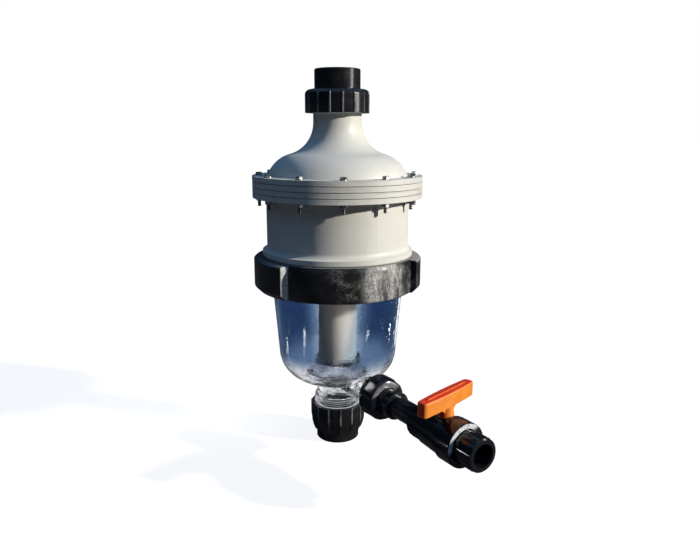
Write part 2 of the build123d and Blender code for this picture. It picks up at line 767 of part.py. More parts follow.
with BuildPart() as flange_washers:
    for bottom in (washer_bottom, dome_flange_top):
        with BuildSketch(Plane.XY.offset(bottom)):
            with PolarLocations(bolt_circle_radius, BOLT_COUNT, BOLT_START_ANGLE):
                Circle(WASHER_RADIUS)
                Circle(bolt_hole_radius, mode=Mode.SUBTRACT)
    extrude(amount=WASHER_THICKNESS)
finish("flange_washers", flange_washers.part)


def bowl_wall_radius(height):
    """Outer radius of the bowl's tapered wall at a height."""
    return bowl_radius + BOWL_SLOPE * (height - bowl_gauge_height)


# Lock ring with two opposed grips
lip_bore = bowl_wall_radius(ring_seat) + LOOSE_GAP
with BuildPart() as lock_ring:
    with BuildSketch(Plane.XZ):
        with BuildLine():
            Polyline(
                (lip_bore, ring_bottom),
                (ring_radius - RING_EDGE, ring_bottom),
                (ring_radius, ring_bottom + RING_EDGE),
                (ring_radius, ring_top - RING_CHAMFER),
                (ring_top_radius, ring_top),
                (thread_bore, ring_top),
                (thread_bore, ring_seat),
                (lip_bore, ring_seat),
                close=True,
            )
        make_face()
    revolve(axis=Axis.Z)
    grip_root = ring_radius - 2 * RING_EDGE
    for index in range(GRIP_COUNT):
        centre_angle = GRIP_CENTRE_ANGLE + index * 360 / GRIP_COUNT
        start = half_plane(main_line, centre_angle - GRIP_ANGLE / 2)
        with BuildSketch(start):
            with BuildLine():
                Polyline(
                    (grip_root, ring_bottom + RING_EDGE),
                    (ring_radius, ring_bottom),
                    (grip_radius - GRIP_LOWER_CHAMFER, ring_bottom),
                    (grip_radius, ring_bottom + GRIP_LOWER_CHAMFER),
                    (grip_radius, ring_top - RING_EDGE - GRIP_UPPER_CHAMFER),
                    (grip_radius - GRIP_UPPER_CHAMFER, ring_top - RING_EDGE),
                    (grip_root, ring_top - RING_EDGE),
                    close=True,
                )
            make_face()
        revolve(axis=Axis.Z, revolution_arc=GRIP_ANGLE)
finish("lock_ring", lock_ring.part)

# Sediment bowl: outer form with neck and drain port, then the chamber and the bores
wall_top = bowl_wall_radius(rim_bottom)
bowl_socket_bore = riser_seal_outer + SEAL_GAP
bowl_socket_outer = bowl_socket_bore + BOWL_SOCKET_WALL
with BuildPart() as sediment_bowl:
    with BuildSketch(Plane.XZ):
        with BuildLine():
            fillet_start = (bowl_neck_radius, bowl_bottom - BOWL_NECK_FILLET)
            fillet_end = (bowl_neck_radius + BOWL_NECK_FILLET, bowl_bottom)
            floor_edge = (corner_radius - bowl_corner, bowl_bottom)
            Polyline(
                (0, inlet_face),
                (inlet_spigot_radius, inlet_face),
                (inlet_spigot_radius, bead_top - BEAD_EDGE),
                (inlet_spigot_radius - BEAD_EDGE, bead_top),
                (bowl_neck_radius + BEAD_EDGE, bead_top),
                (bowl_neck_radius, bead_top + BEAD_EDGE),
                fillet_start,
            )
            TangentArc(fillet_start, fillet_end, tangent=(0, 1))
            Line(fillet_end, floor_edge)
            TangentArc(floor_edge, (corner_radius, corner_height), tangent=(1, 0))
            Polyline(
                (corner_radius, corner_height),
                (wall_top, rim_bottom),
                (bowl_rim_radius, rim_bottom),
                (bowl_rim_radius, rim_top),
                (0, rim_top),
                (0, inlet_face),
            )
        make_face()
    revolve(axis=Axis.Z)
    with BuildSketch(across(drain_line, 0)):
        Circle(port_radius)
    extrude(amount=drain_spigot_start)
    with BuildSketch(across(drain_line, drain_spigot_start)):
        Circle(drain_spigot_radius)
    extrude(amount=DRAIN_SPIGOT_LENGTH)
    with BuildSketch(Plane.XZ):
        with BuildLine():
            chamber_edge = (corner_radius - bowl_corner, floor_top)
            chamber_side = (corner_radius - BOWL_WALL, corner_height)
            Polyline(
                (0, rim_top),
                (0, inlet_face),
                (bowl_neck_bore, inlet_face),
                (bowl_neck_bore, seal_bottom),
                (bowl_socket_bore, seal_bottom),
                (bowl_socket_bore, bowl_socket_top),
                (bowl_socket_outer, bowl_socket_top),
                (bowl_socket_outer, floor_top),
                chamber_edge,
            )
            TangentArc(chamber_edge, chamber_side, tangent=(1, 0))
            Polyline(
                chamber_side,
                (wall_top - BOWL_WALL, rim_bottom),
                (wall_top - BOWL_WALL, rim_top),
                (0, rim_top),
            )
        make_face()
    revolve(axis=Axis.Z, mode=Mode.SUBTRACT)
    with BuildSketch(across(drain_line, PORT_BORE_START)):
        Circle(port_bore)
    extrude(amount=drain_face - PORT_BORE_START, mode=Mode.SUBTRACT)
    with BuildSketch(Plane.XY.offset(rim_top)):
        Circle(bowl_oring_radius + BOWL_ORING_SECTION + SEAL_GAP)
        Circle(bowl_oring_radius - BOWL_ORING_SECTION - SEAL_GAP, mode=Mode.SUBTRACT)
    extrude(amount=-2 * BOWL_ORING_SECTION, mode=Mode.SUBTRACT)
finish("sediment_bowl", sediment_bowl.part)

bowl_oring = ring_seal(
    main_line, bowl_oring_radius, BOWL_ORING_SECTION, rim_top - BOWL_ORING_SECTION
)
finish("bowl_oring", bowl_oring)

# Riser tube and the seal that it stands on
riser_tube = turned(
    main_line,
    (riser_bore, riser_bottom),
    (riser_radius, riser_bottom),
    (riser_radius, riser_top),
    (riser_bore, riser_top),
)
finish("riser_tube", riser_tube)

riser_seal = turned(
    main_line,
    (riser_seal_inner, seal_bottom),
    (riser_seal_outer, seal_bottom),
    (riser_seal_outer, riser_bottom + RISER_SEAL_LIP),
    (riser_radius + SEAL_GAP, riser_bottom + RISER_SEAL_LIP),
    (riser_radius + SEAL_GAP, riser_bottom),
    (riser_seal_inner, riser_bottom),
)
finish("riser_seal", riser_seal)

# Drain union: seal, tail with a beaded mouth, and a nut with sunk grip panels
drain_tail_face = drain_face + DRAIN_TAIL_FLANGE
drain_oring_floor = drain_face + 2 * FACE_ORING_SECTION
drain_bead_start = drain_tail_end - DRAIN_BEAD_LENGTH
drain_pipe_start = drain_tail_end - DRAIN_PIPE_DEPTH
drain_union_tail = turned(
    drain_line,
    (drain_pipe_bore, drain_face),
    (drain_oring_radius - FACE_ORING_SECTION - SEAL_GAP, drain_face),
    (drain_oring_radius - FACE_ORING_SECTION - SEAL_GAP, drain_oring_floor),
    (drain_oring_radius + FACE_ORING_SECTION + SEAL_GAP, drain_oring_floor),
    (drain_oring_radius + FACE_ORING_SECTION + SEAL_GAP, drain_face),
    (drain_spigot_radius - LOOSE_GAP, drain_face),
    (drain_spigot_radius - LOOSE_GAP, drain_tail_face),
    (drain_tail_radius, drain_tail_face),
    (drain_tail_radius, drain_bead_start),
    (drain_bead_radius, drain_bead_start),
    (drain_bead_radius, drain_tail_end - TAIL_EDGE),
    (drain_bead_radius - TAIL_EDGE, drain_tail_end),
    (drain_socket, drain_tail_end),
    (drain_socket, drain_pipe_start),
    (drain_pipe_bore, drain_pipe_start),
)
finish("drain_union_tail", drain_union_tail)

drain_oring = ring_seal(
    drain_line, drain_oring_radius, FACE_ORING_SECTION, drain_face + FACE_ORING_SECTION
)
finish("drain_oring", drain_oring)

drain_lip_bore = drain_tail_radius + NUT_LIP_GAP
drain_lip_start = drain_tail_face + FACE_GAP
with BuildPart() as drain_union_nut:
    with BuildSketch(half_plane(drain_line)):
        with BuildLine():
            shoulder_start = (drain_nut_radius, drain_nut_shoulder)
            shoulder_end = (drain_nut_face_radius, drain_nut_end)
            Polyline(
                (drain_nut_face_radius, drain_nut_end),
                (drain_lip_bore, drain_nut_end),
                (drain_lip_bore, drain_lip_start),
                (drain_nut_bore, drain_lip_start),
                (drain_nut_bore, drain_nut_start),
                (drain_nut_radius - NUT_EDGE, drain_nut_start),
                (drain_nut_radius, drain_nut_start + NUT_EDGE),
                shoulder_start,
            )
            TangentArc(shoulder_start, shoulder_end, tangent=(0, 1))
        make_face()
    revolve(axis=axis_of(drain_line))
    with BuildSketch(across(drain_line, drain_nut_panel_start)):
        with PolarLocations(0, DRAIN_NUT_PANELS):
            with Locations((drain_nut_radius, 0)):
                Rectangle(2 * DRAIN_NUT_PANEL_DEPTH, DRAIN_NUT_PANEL_WIDTH)
    extrude(amount=drain_nut_end - drain_nut_panel_start, mode=Mode.SUBTRACT)
finish("drain_union_nut", drain_union_nut.part)

# Pipe nipple between the union and the valve
drain_nipple = turned(
    drain_line,
    (drain_pipe_bore, drain_pipe_start),
    (DRAIN_PIPE_RADIUS, drain_pipe_start),
    (DRAIN_PIPE_RADIUS, valve_start + DRAIN_PIPE_DEPTH),
    (drain_pipe_bore, valve_start + DRAIN_PIPE_DEPTH),
)
finish("drain_nipple", drain_nipple)

# Valve body: ribbed socket, turned shell with a spigot, spot face for the stem, ball chamber
ball_centre = (valve_stem_x, 0, drain_height)
chamber_start = valve_stem_x - seat_front - LOOSE_GAP
inner_seat_back = valve_stem_x - seat_back
outer_seat_back = valve_stem_x + seat_back
inlet_rib_start = valve_start + VALVE_RIB_MARGIN
with BuildPart() as valve_body:
    with BuildSketch(half_plane(drain_line)):
        with BuildLine():
            Polyline(
                (drain_socket, valve_start),
                (valve_inlet_radius - TAIL_EDGE, valve_start),
                (valve_inlet_radius, valve_start + TAIL_EDGE),
                (valve_inlet_radius, valve_body_start),
                (valve_neck_radius, valve_body_start + VALVE_SHOULDER),
                (valve_body_radius, valve_taper_end),
                (valve_body_radius, valve_spigot_start),
                (valve_spigot_radius, valve_spigot_start),
                (valve_spigot_radius, valve_spigot_end),
                (valve_cavity_radius, valve_spigot_end),
                (valve_cavity_radius, chamber_start),
                (seat_outer + SEAL_GAP, chamber_start),
                (seat_outer + SEAL_GAP, inner_seat_back),
                (valve_bore, inner_seat_back),
                (valve_bore, valve_start + DRAIN_PIPE_DEPTH),
                (drain_socket, valve_start + DRAIN_PIPE_DEPTH),
                close=True,
            )
        make_face()
    revolve(axis=axis_of(drain_line))
    with BuildSketch(Plane.XY.offset(spot_face)):
        with Locations((valve_stem_x, 0)):
            Circle(spot_face_radius)
    extrude(amount=valve_body_radius, mode=Mode.SUBTRACT)
    with BuildSketch(Plane.XY.offset(drain_height)):
        with Locations((valve_stem_x, 0)):
            Circle(stem_flange_radius + LOOSE_GAP)
    extrude(amount=stem_rise + SEAL_GAP, mode=Mode.SUBTRACT)
    with BuildSketch(Plane.XY.offset(drain_height)):
        with Locations((valve_stem_x, 0)):
            Circle(STEM_RADIUS + STEM_CLEARANCE)
    extrude(amount=spot_face_rise, mode=Mode.SUBTRACT)
    with BuildSketch(across(drain_line, inlet_rib_start)):
        with PolarLocations(valve_inlet_radius, VALVE_RIBS):
            Rectangle(2 * VALVE_RIB_HEIGHT, VALVE_RIB_WIDTH)
    extrude(amount=valve_body_start - inlet_rib_start)
finish("valve_body", valve_body.part)

# Valve end: plug with the outer seat, flange and ribbed pipe socket
plug_radius = valve_cavity_radius - SEAL_GAP
plug_start = valve_stem_x + seat_front + LOOSE_GAP
end_groove = plug_radius - 2 * END_ORING_SECTION
end_groove_far = end_oring_start + 2 * END_ORING_SECTION + SEAL_GAP
end_flange_radius = valve_spigot_radius - LOOSE_GAP
outlet_pipe_end = valve_reach - DRAIN_PIPE_DEPTH
outlet_rib_end = valve_reach - VALVE_RIB_MARGIN
with BuildPart() as valve_end:
    with BuildSketch(half_plane(drain_line)):
        with BuildLine():
            Polyline(
                (valve_outlet_radius, end_flange_far),
                (valve_outlet_radius, valve_reach - TAIL_EDGE),
                (valve_outlet_radius - TAIL_EDGE, valve_reach),
                (drain_socket, valve_reach),
                (drain_socket, outlet_pipe_end),
                (valve_bore, outlet_pipe_end),
                (valve_bore, outer_seat_back),
                (seat_outer + SEAL_GAP, outer_seat_back),
                (seat_outer + SEAL_GAP, plug_start),
                (plug_radius, plug_start),
                (plug_radius, end_oring_start),
                (end_groove, end_oring_start),
                (end_groove, end_groove_far),
                (plug_radius, end_groove_far),
                (plug_radius, valve_spigot_end),
                (end_flange_radius, valve_spigot_end),
                (end_flange_radius, end_flange_far),
                close=True,
            )
        make_face()
    revolve(axis=axis_of(drain_line))
    with BuildSketch(across(drain_line, end_flange_far)):
        with PolarLocations(valve_outlet_radius, VALVE_RIBS):
            Rectangle(2 * VALVE_RIB_HEIGHT, VALVE_RIB_WIDTH)
    extrude(amount=outlet_rib_end - end_flange_far)
finish("valve_end", valve_end.part)

# Valve nut: smooth union nut with a rounded outer edge
valve_lip_bore = valve_outlet_radius + VALVE_RIB_HEIGHT + NUT_LIP_GAP
with BuildPart() as valve_union_nut:
    with BuildSketch(half_plane(drain_line)):
        with BuildLine():
            round_start = (valve_nut_radius, valve_nut_end - VALVE_NUT_ROUND)
            round_end = (valve_nut_radius - VALVE_NUT_ROUND, valve_nut_end)
            Polyline(
                round_end,
                (valve_lip_bore, valve_nut_end),
                (valve_lip_bore, valve_lip_start),
                (valve_nut_bore, valve_lip_start),
                (valve_nut_bore, valve_nut_start),
                (valve_nut_radius - NUT_EDGE, valve_nut_start),
                (valve_nut_radius, valve_nut_start + NUT_EDGE),
                round_start,
            )
            TangentArc(round_start, round_end, tangent=(0, 1))
        make_face()
    revolve(axis=axis_of(drain_line))
finish("valve_union_nut", valve_union_nut.part)

end_oring = ring_seal(
    drain_line,
    end_groove + END_ORING_SECTION,
    END_ORING_SECTION,
    end_oring_start + END_ORING_SECTION,
)
finish("end_oring", end_oring)


def ball_seat(side):
    """Seat ring outboard (1) or inboard (-1) of the ball, with its front edge hollowed to the ball."""
    hollow = BALL_RADIUS + BALL_CLEARANCE
    front = valve_stem_x + side * seat_front
    back = valve_stem_x + side * seat_back
    inner_angle = asin(seat_inner / hollow)
    outer_angle = acos(seat_front / hollow)
    middle_angle = (inner_angle + outer_angle) / 2
    inner_edge = (seat_inner, valve_stem_x + side * hollow * cos(inner_angle))
    outer_edge = (sqrt(hollow**2 - seat_front**2), front)
    middle = (hollow * sin(middle_angle), valve_stem_x + side * hollow * cos(middle_angle))
    with BuildPart() as piece:
        with BuildSketch(half_plane(drain_line)):
            with BuildLine():
                Polyline(
                    outer_edge,
                    (seat_outer, front),
                    (seat_outer, back),
                    (seat_inner, back),
                    inner_edge,
                )
                ThreePointArc(inner_edge, middle, outer_edge)
            make_face()
        revolve(axis=axis_of(drain_line))
    return piece.part


finish("inner_seat", ball_seat(-1))
finish("outer_seat", ball_seat(1))

# Ball, turned with the handle
handle_direction = Vector(1, 0, 0).rotate(Axis.Z, HANDLE_ANGLE)
bore_line = Plane(origin=ball_centre, x_dir=(0, 0, 1), z_dir=handle_direction)
tongue_bottom = drain_height + BALL_RADIUS - STEM_TONGUE_DEPTH
stem_plane = Plane(origin=(valve_stem_x, 0, 0), x_dir=handle_direction, z_dir=(0, 0, 1))
with BuildPart() as valve_ball:
    with Locations(ball_centre):
        Sphere(BALL_RADIUS)
    with BuildSketch(bore_line):
        Circle(valve_bore)
    extrude(amount=BALL_RADIUS, both=True, mode=Mode.SUBTRACT)
    with BuildSketch(stem_plane.offset(tongue_bottom)):
        Rectangle(STEM_TONGUE_WIDTH + 2 * SEAL_GAP, 2 * BALL_RADIUS)
    extrude(amount=STEM_TONGUE_DEPTH, mode=Mode.SUBTRACT)
finish("valve_ball", valve_ball.part)

# Stem with its tongue, stop flange, seal groove and square
stem_flange_bottom = stem_shoulder - STEM_FLANGE_THICKNESS
with BuildPart() as valve_stem:
    with BuildSketch(stem_plane.offset(tongue_bottom + SEAL_GAP)):
        Rectangle(STEM_TONGUE_WIDTH, 2 * STEM_RADIUS)
    extrude(amount=stem_flange_bottom - tongue_bottom)
    with BuildSketch(stem_plane.offset(stem_flange_bottom)):
        Circle(stem_flange_radius)
    extrude(amount=STEM_FLANGE_THICKNESS)
    with BuildSketch(stem_plane.offset(stem_shoulder)):
        Circle(STEM_RADIUS)
    extrude(amount=spot_face - stem_shoulder)
    with BuildSketch(stem_plane.offset(spot_face)):
        Rectangle(STEM_SQUARE, STEM_SQUARE)
    extrude(amount=stem_top - spot_face)
    with BuildSketch(stem_plane.offset(stem_oring_height - STEM_ORING_SECTION)):
        Circle(STEM_RADIUS + LOOSE_GAP)
        Circle(STEM_RADIUS - 2 * STEM_ORING_SECTION, mode=Mode.SUBTRACT)
    extrude(amount=2 * STEM_ORING_SECTION, mode=Mode.SUBTRACT)
finish("valve_stem", valve_stem.part)

stem_line = Plane(origin=(valve_stem_x, 0, 0))
stem_oring = ring_seal(
    stem_line, STEM_RADIUS - STEM_ORING_SECTION, STEM_ORING_SECTION, stem_oring_height
)
finish("stem_oring", stem_oring)

# T-handle: bowed bar with a low ridge on top, a round hub below and a gusset at the hub
half_length = HANDLE_LENGTH / 2
half_width = HANDLE_WIDTH / 2
half_tip = HANDLE_TIP_WIDTH / 2
gusset_bottom = handle_bottom - HANDLE_GUSSET_DROP
gusset_plane = Plane(
    origin=(valve_stem_x, 0, 0), x_dir=handle_direction, z_dir=handle_direction.cross(Vector(0, 0, 1))
)
with BuildPart() as valve_handle:
    with BuildSketch(stem_plane.offset(handle_bottom)):
        with BuildLine():
            ThreePointArc((-half_length, -half_tip), (0, -half_width), (half_length, -half_tip))
            Line((half_length, -half_tip), (half_length, half_tip))
            ThreePointArc((half_length, half_tip), (0, half_width), (-half_length, half_tip))
            Line((-half_length, half_tip), (-half_length, -half_tip))
        make_face()
    extrude(amount=handle_top - handle_bottom)
    fillet(valve_handle.edges().filter_by(Axis.Z), HANDLE_CORNER)
    fillet(valve_handle.edges().group_by(Axis.Z)[-1], HANDLE_EDGE)
    with BuildSketch(stem_plane.offset(handle_top)):
        Rectangle(HANDLE_RIDGE_LENGTH, HANDLE_RIDGE_WIDTH)
    extrude(amount=HANDLE_RIDGE_HEIGHT)
    with Locations((valve_stem_x, 0, hub_bottom)):
        Cone(
            HANDLE_HUB_RADIUS,
            hub_top_radius,
            handle_bottom - hub_bottom,
            align=(Align.CENTER, Align.CENTER, Align.MIN),
        )
    with BuildSketch(gusset_plane):
        with BuildLine():
            Polyline(
                (-HANDLE_GUSSET_REACH, handle_bottom),
                (-hub_top_radius, gusset_bottom),
                (hub_top_radius, gusset_bottom),
                (HANDLE_GUSSET_REACH, handle_bottom),
                close=True,
            )
        make_face()
    extrude(amount=HANDLE_GUSSET_WIDTH / 2, both=True)
    with BuildSketch(stem_plane.offset(hub_bottom)):
        Rectangle(STEM_SQUARE + 2 * SEAL_GAP, STEM_SQUARE + 2 * SEAL_GAP)
    extrude(amount=stem_top + LOOSE_GAP - hub_bottom, mode=Mode.SUBTRACT)
finish("valve_handle", valve_handle.part)
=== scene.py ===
"""Looks of the centrifugal filter: materials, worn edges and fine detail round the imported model."""

from math import atan2, cos, hypot, pi, radians, sin, tan

import bmesh
import bpy
from mathutils import Matrix, Vector


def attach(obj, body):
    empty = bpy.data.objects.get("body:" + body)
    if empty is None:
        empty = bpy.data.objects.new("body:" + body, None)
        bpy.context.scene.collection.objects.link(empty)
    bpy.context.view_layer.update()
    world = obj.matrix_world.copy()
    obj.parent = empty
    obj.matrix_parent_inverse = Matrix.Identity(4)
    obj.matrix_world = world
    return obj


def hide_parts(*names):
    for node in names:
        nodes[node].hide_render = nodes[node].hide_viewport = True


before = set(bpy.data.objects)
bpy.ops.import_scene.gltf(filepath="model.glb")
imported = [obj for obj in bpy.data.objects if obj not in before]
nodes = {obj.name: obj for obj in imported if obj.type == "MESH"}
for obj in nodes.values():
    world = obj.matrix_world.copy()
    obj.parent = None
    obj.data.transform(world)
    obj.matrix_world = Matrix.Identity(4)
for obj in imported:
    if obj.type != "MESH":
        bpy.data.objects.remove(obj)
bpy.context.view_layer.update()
scene = bpy.context.scene

# Sizes repeated from the part, in millimetres and degrees
MM = 0.001
TOTAL_HEIGHT = 630.0
DRAIN_HEIGHT = 118.3
TAIL_RADIUS = 37.1
NUT_LIP_GAP = 0.5
NUT_RIM = 2.2
NUT_RIB_HEIGHT = 1.3
FACE_GAP = 0.30
INLET_NUT = dict(radius=47.9, near=16.5, far=66.0, shoulder=45.5, lip=13.5, ribs=14, bore=41.1)
OUTLET_NUT = dict(radius=52.7, near=31.0, far=68.3, shoulder=39.5, lip=7.0, ribs=16, bore=46.1)
RING_BOTTOM = 275.0
RING_SEAT = 285.0
RING_TOP = 331.0
RING_RADIUS = 130.0
RING_TOP_RADIUS = 127.0
RING_CHAMFER = 6.5
RING_THREAD_BORE = 121.6
RING_LIP_BORE = 111.6725
GRIP_RADIUS = 140.45
GRIP_ANGLE = 77.5
GRIP_CENTRE_ANGLES = (73.5, 253.5)
DRAIN_NUT = dict(
    start=120.0, shoulder=142.0, lip_start=146.7, end=150.0,
    radius=34.3, face=26.5, bore=29.1, lip=21.0,
)
DRAIN_PANELS = 8
DRAIN_PANEL_RADIUS = 32.1
BOLT_CIRCLE = 129.0
BOLT_COUNT = 12
BOLT_START_ANGLE = 2.5
HEX_FLATS = 10.0
HEAD_LEVELS = (464.2, 468.2)
NUT_LEVELS = (421.5, 426.5)
WASHER_LEVELS = (462.8, 426.5)
WASHER_HEIGHT = 1.4
BOLT_END = 412.4
HANDLE_ANGLE = 104.6
HANDLE_SIDE = (-sin(radians(HANDLE_ANGLE)), cos(radians(HANDLE_ANGLE)), 0.0)

# Mesh settings: distances in metres, angle in degrees, and the share of a side a fillet may take
MERGE_DISTANCE = 1e-6
SLIVER_LENGTH = 1e-7
SHARP_ANGLE = 40
FILLET_SHARE = 0.48


# Places round the lines that the pieces are turned about
def on_main(radius, angle, distance):
    """Point round the main axis, distance up from the floor."""
    return radius * cos(angle), radius * sin(angle), distance


def on_outlet(radius, angle, distance):
    """Point round the main axis, distance down from the top."""
    return radius * cos(angle), -radius * sin(angle), TOTAL_HEIGHT - distance


def on_drain(radius, angle, distance):
    """Point round the drain line, distance out from the main axis."""
    return distance, -radius * sin(angle), DRAIN_HEIGHT + radius * cos(angle)


# Profiles and meshes
def rounded(corners, steps=4):
    """Closed profile from (radius, distance, fillet) corners."""
    points = []
    for index, (radius, distance, fillet) in enumerate(corners):
        if fillet == 0:
            points.append((radius, distance))
            continue
        corner = Vector((radius, distance))
        before = Vector(corners[index - 1][:2]) - corner
        after = Vector(corners[(index + 1) % len(corners)][:2]) - corner
        half = before.angle(after) / 2
        reach = min(
            fillet / tan(half), FILLET_SHARE * before.length, FILLET_SHARE * after.length
        )
        size = reach * tan(half)
        inward = (before.normalized() + after.normalized()).normalized()
        centre = corner + inward * size / sin(half)
        start = corner + before.normalized() * reach - centre
        end = corner + after.normalized() * reach - centre
        first = atan2(start.y, start.x)
        sweep = atan2(end.y, end.x) - first
        sweep = (sweep + pi) % (2 * pi) - pi
        for step in range(steps + 1):
            angle = first + sweep * step / steps
            points.append((centre.x + size * cos(angle), centre.y + size * sin(angle)))
    return points


def blend_profiles(low, high, weight):
    """Profile between two others."""
    return [
        (a + (c - a) * weight, b + (d - b) * weight) for (a, b), (c, d) in zip(low, high)
    ]


def quarter_turn(steps):
    """Cosine and sine at even steps through a quarter turn."""
    return [(cos(pi / 2 * step / steps), sin(pi / 2 * step / steps)) for step in range(steps + 1)]


def arc_points(start, end, steps=10):
    """Arc that leaves start straight down the distance axis and ends at end."""
    depth = start[0] - end[0]
    height = start[1] - end[1]
    if height > depth:
        size = (height * height + depth * depth) / (2 * depth)
        full = atan2(height, size - depth)
        angles = [full * step / steps for step in range(steps + 1)]
        return [(start[0] - size * (1 - cos(a)), start[1] - size * sin(a)) for a in angles]
    return [(end[0] + depth * c, start[1] - height * s) for c, s in quarter_turn(steps)]


def all_round(profile, steps):
    """Stations with the same profile all the way round."""
    return [(2 * pi * step / steps, profile) for step in range(steps)]


def loop_faces(first, loops, size):
    """Faces between closed loops of vertices, the last loop joined to the first."""
    faces = []
    for loop in range(loops):
        here = first + loop * size
        there = first + (loop + 1) % loops * size
        for step in range(size):
            after = (step + 1) % size
            faces.append((here + step, here + after, there + after, there + step))
    return faces


def finish_mesh(name, vertices, faces, sharp):
    """Object from vertices in millimetres, smooth between its sharp edges."""
    mesh = bpy.data.meshes.new(name)
    mesh.from_pydata([(x * MM, y * MM, z * MM) for x, y, z in vertices], [], faces)
    work = bmesh.new()
    work.from_mesh(mesh)
    bmesh.ops.remove_doubles(work, verts=work.verts, dist=MERGE_DISTANCE)
    bmesh.ops.dissolve_degenerate(work, edges=work.edges, dist=SLIVER_LENGTH)
    bmesh.ops.recalc_face_normals(work, faces=work.faces)
    work.to_mesh(mesh)
    work.free()
    mesh.shade_smooth()
    mesh.set_sharp_from_angle(angle=radians(sharp))
    made = bpy.data.objects.new(name, mesh)
    scene.collection.objects.link(made)
    return made


def turned(name, place, stations, sharp=SHARP_ANGLE):
    """Closed ring mesh: stations are (angle, profile), all profiles with as many points."""
    vertices = [place(r, angle, d) for angle, profile in stations for r, d in profile]
    return finish_mesh(name, vertices, loop_faces(0, len(stations), len(stations[0][1])), sharp)


# Union nuts with rounded ribs: (millimetres from a rib's middle, share of its height)
RIB_FLANK = [
    (-2.3, 0.0), (-1.9, 0.06), (-1.6, 0.3), (-1.35, 0.72), (-1.0, 0.95), (-0.5, 1.0),
    (0.5, 1.0), (1.0, 0.95), (1.35, 0.72), (1.6, 0.3), (1.9, 0.06), (2.3, 0.0),
]
RIB_SPACES = 5
NUT_RIM_FILLET = 0.7
NUT_BORE_FILLET = 0.5
NUT_LIP_EDGE = 0.8
NUT_FACE_WIDTH = 3


def nut_profile(radius, near_radius, lip_bore, spec):
    """Profile of a union nut: bell outside, bore and lip inside."""
    lip_end = spec["near"] + (spec["lip"] - FACE_GAP)
    end_face = (radius - NUT_FACE_WIDTH, spec["far"], 0)
    bell = arc_points((radius, spec["shoulder"]), (near_radius, spec["near"]))
    outside = rounded([
        end_face,
        (radius, spec["far"], NUT_RIM_FILLET),
        (radius, spec["shoulder"], 0),
    ])
    inside = rounded([
        (lip_bore, spec["near"], NUT_BORE_FILLET),
        (lip_bore, lip_end, 0),
        (spec["bore"], lip_end, 0),
        (spec["bore"], spec["far"], NUT_BORE_FILLET),
        end_face,
    ])
    return outside[1:-1] + bell + [(lip_bore + NUT_LIP_EDGE, spec["near"])] + inside[:-1]


def union_nut(name, place, spec):
    """Union nut in one mesh with rounded grip ribs."""
    lip_bore = TAIL_RADIUS + NUT_LIP_GAP
    near_radius = lip_bore + NUT_RIM
    core = nut_profile(spec["radius"] - NUT_RIB_HEIGHT, near_radius, lip_bore, spec)
    rib = nut_profile(spec["radius"], near_radius + NUT_RIB_HEIGHT, lip_bore, spec)
    pitch = 2 * pi / spec["ribs"]
    edge = RIB_FLANK[-1][0] / spec["radius"]
    spare = pitch - 2 * edge
    stations = []
    for index in range(spec["ribs"]):
        middle = index * pitch
        for offset, weight in RIB_FLANK:
            profile = blend_profiles(core, rib, weight)
            stations.append((middle + offset / spec["radius"], profile))
        for step in range(1, RIB_SPACES):
            stations.append((middle + edge + spare * step / RIB_SPACES, core))
    return turned(name, place, stations)


inlet_nut = union_nut("inlet_union_nut_shell", on_main, INLET_NUT)
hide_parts("inlet_union_nut")
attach(inlet_nut, "inlet_nut")
outlet_nut = union_nut("outlet_union_nut_shell", on_outlet, OUTLET_NUT)
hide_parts("outlet_union_nut")
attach(outlet_nut, "outlet_nut")

# Lock ring: (degrees inward from a grip's end, share of the grip's height)
STEEP_END = [
    (-0.55, 0), (-0.1, 0), (-0.02, 0.04), (0.0, 0.15), (0.0, 0.85), (0.12, 0.95), (0.45, 0.99),
    (1.0, 1),
]
SLOPING_END = [
    (-0.55, 0), (-0.1, 0), (0.0, 0.03), (0.25, 0.12), (2.3, 0.88), (2.6, 0.96), (3.0, 1), (3.4, 1),
]
PLAIN_STATIONS = 144
# Degrees that even stations keep clear on both sides of a steep and a sloping end
STEEP_CLEAR = (-1.2, 1.2)
SLOPING_CLEAR = (-3.5, 0.7)
# Degrees that keep stations at one angle in their order
ORDER_SHIFT = 1e-4


def ring_profile(grip):
    """Profile of the lock ring, plain or through a grip."""
    if grip:
        outside = [
            (GRIP_RADIUS - 8, RING_BOTTOM, 2.0),
            (GRIP_RADIUS, RING_BOTTOM + 8, 2.5),
            (GRIP_RADIUS, RING_TOP - 4.5, 1.5),
            (GRIP_RADIUS - 3, RING_TOP - 1.5, 1.2),
            (RING_TOP_RADIUS + 1.0, RING_TOP - 1.5, 0.6),
            (RING_TOP_RADIUS + 0.2, RING_TOP, 0.4),
        ]
    else:
        outside = [
            (RING_RADIUS - 1.5, RING_BOTTOM, 0.8),
            (RING_RADIUS, RING_BOTTOM + 1.5, 0.8),
            (RING_RADIUS, RING_TOP - RING_CHAMFER - 2, 0.5),
            (RING_RADIUS, RING_TOP - RING_CHAMFER, 1.5),
            (RING_TOP_RADIUS + 0.9, RING_TOP - 1.95, 0.6),
            (RING_TOP_RADIUS, RING_TOP, 0.8),
        ]
    inside = [
        (RING_THREAD_BORE, RING_TOP, 0.6),
        (RING_THREAD_BORE, RING_SEAT, 0),
        (RING_LIP_BORE, RING_SEAT, 0.8),
        (RING_LIP_BORE, RING_BOTTOM, 0.8),
    ]
    return rounded(outside + inside, 3)


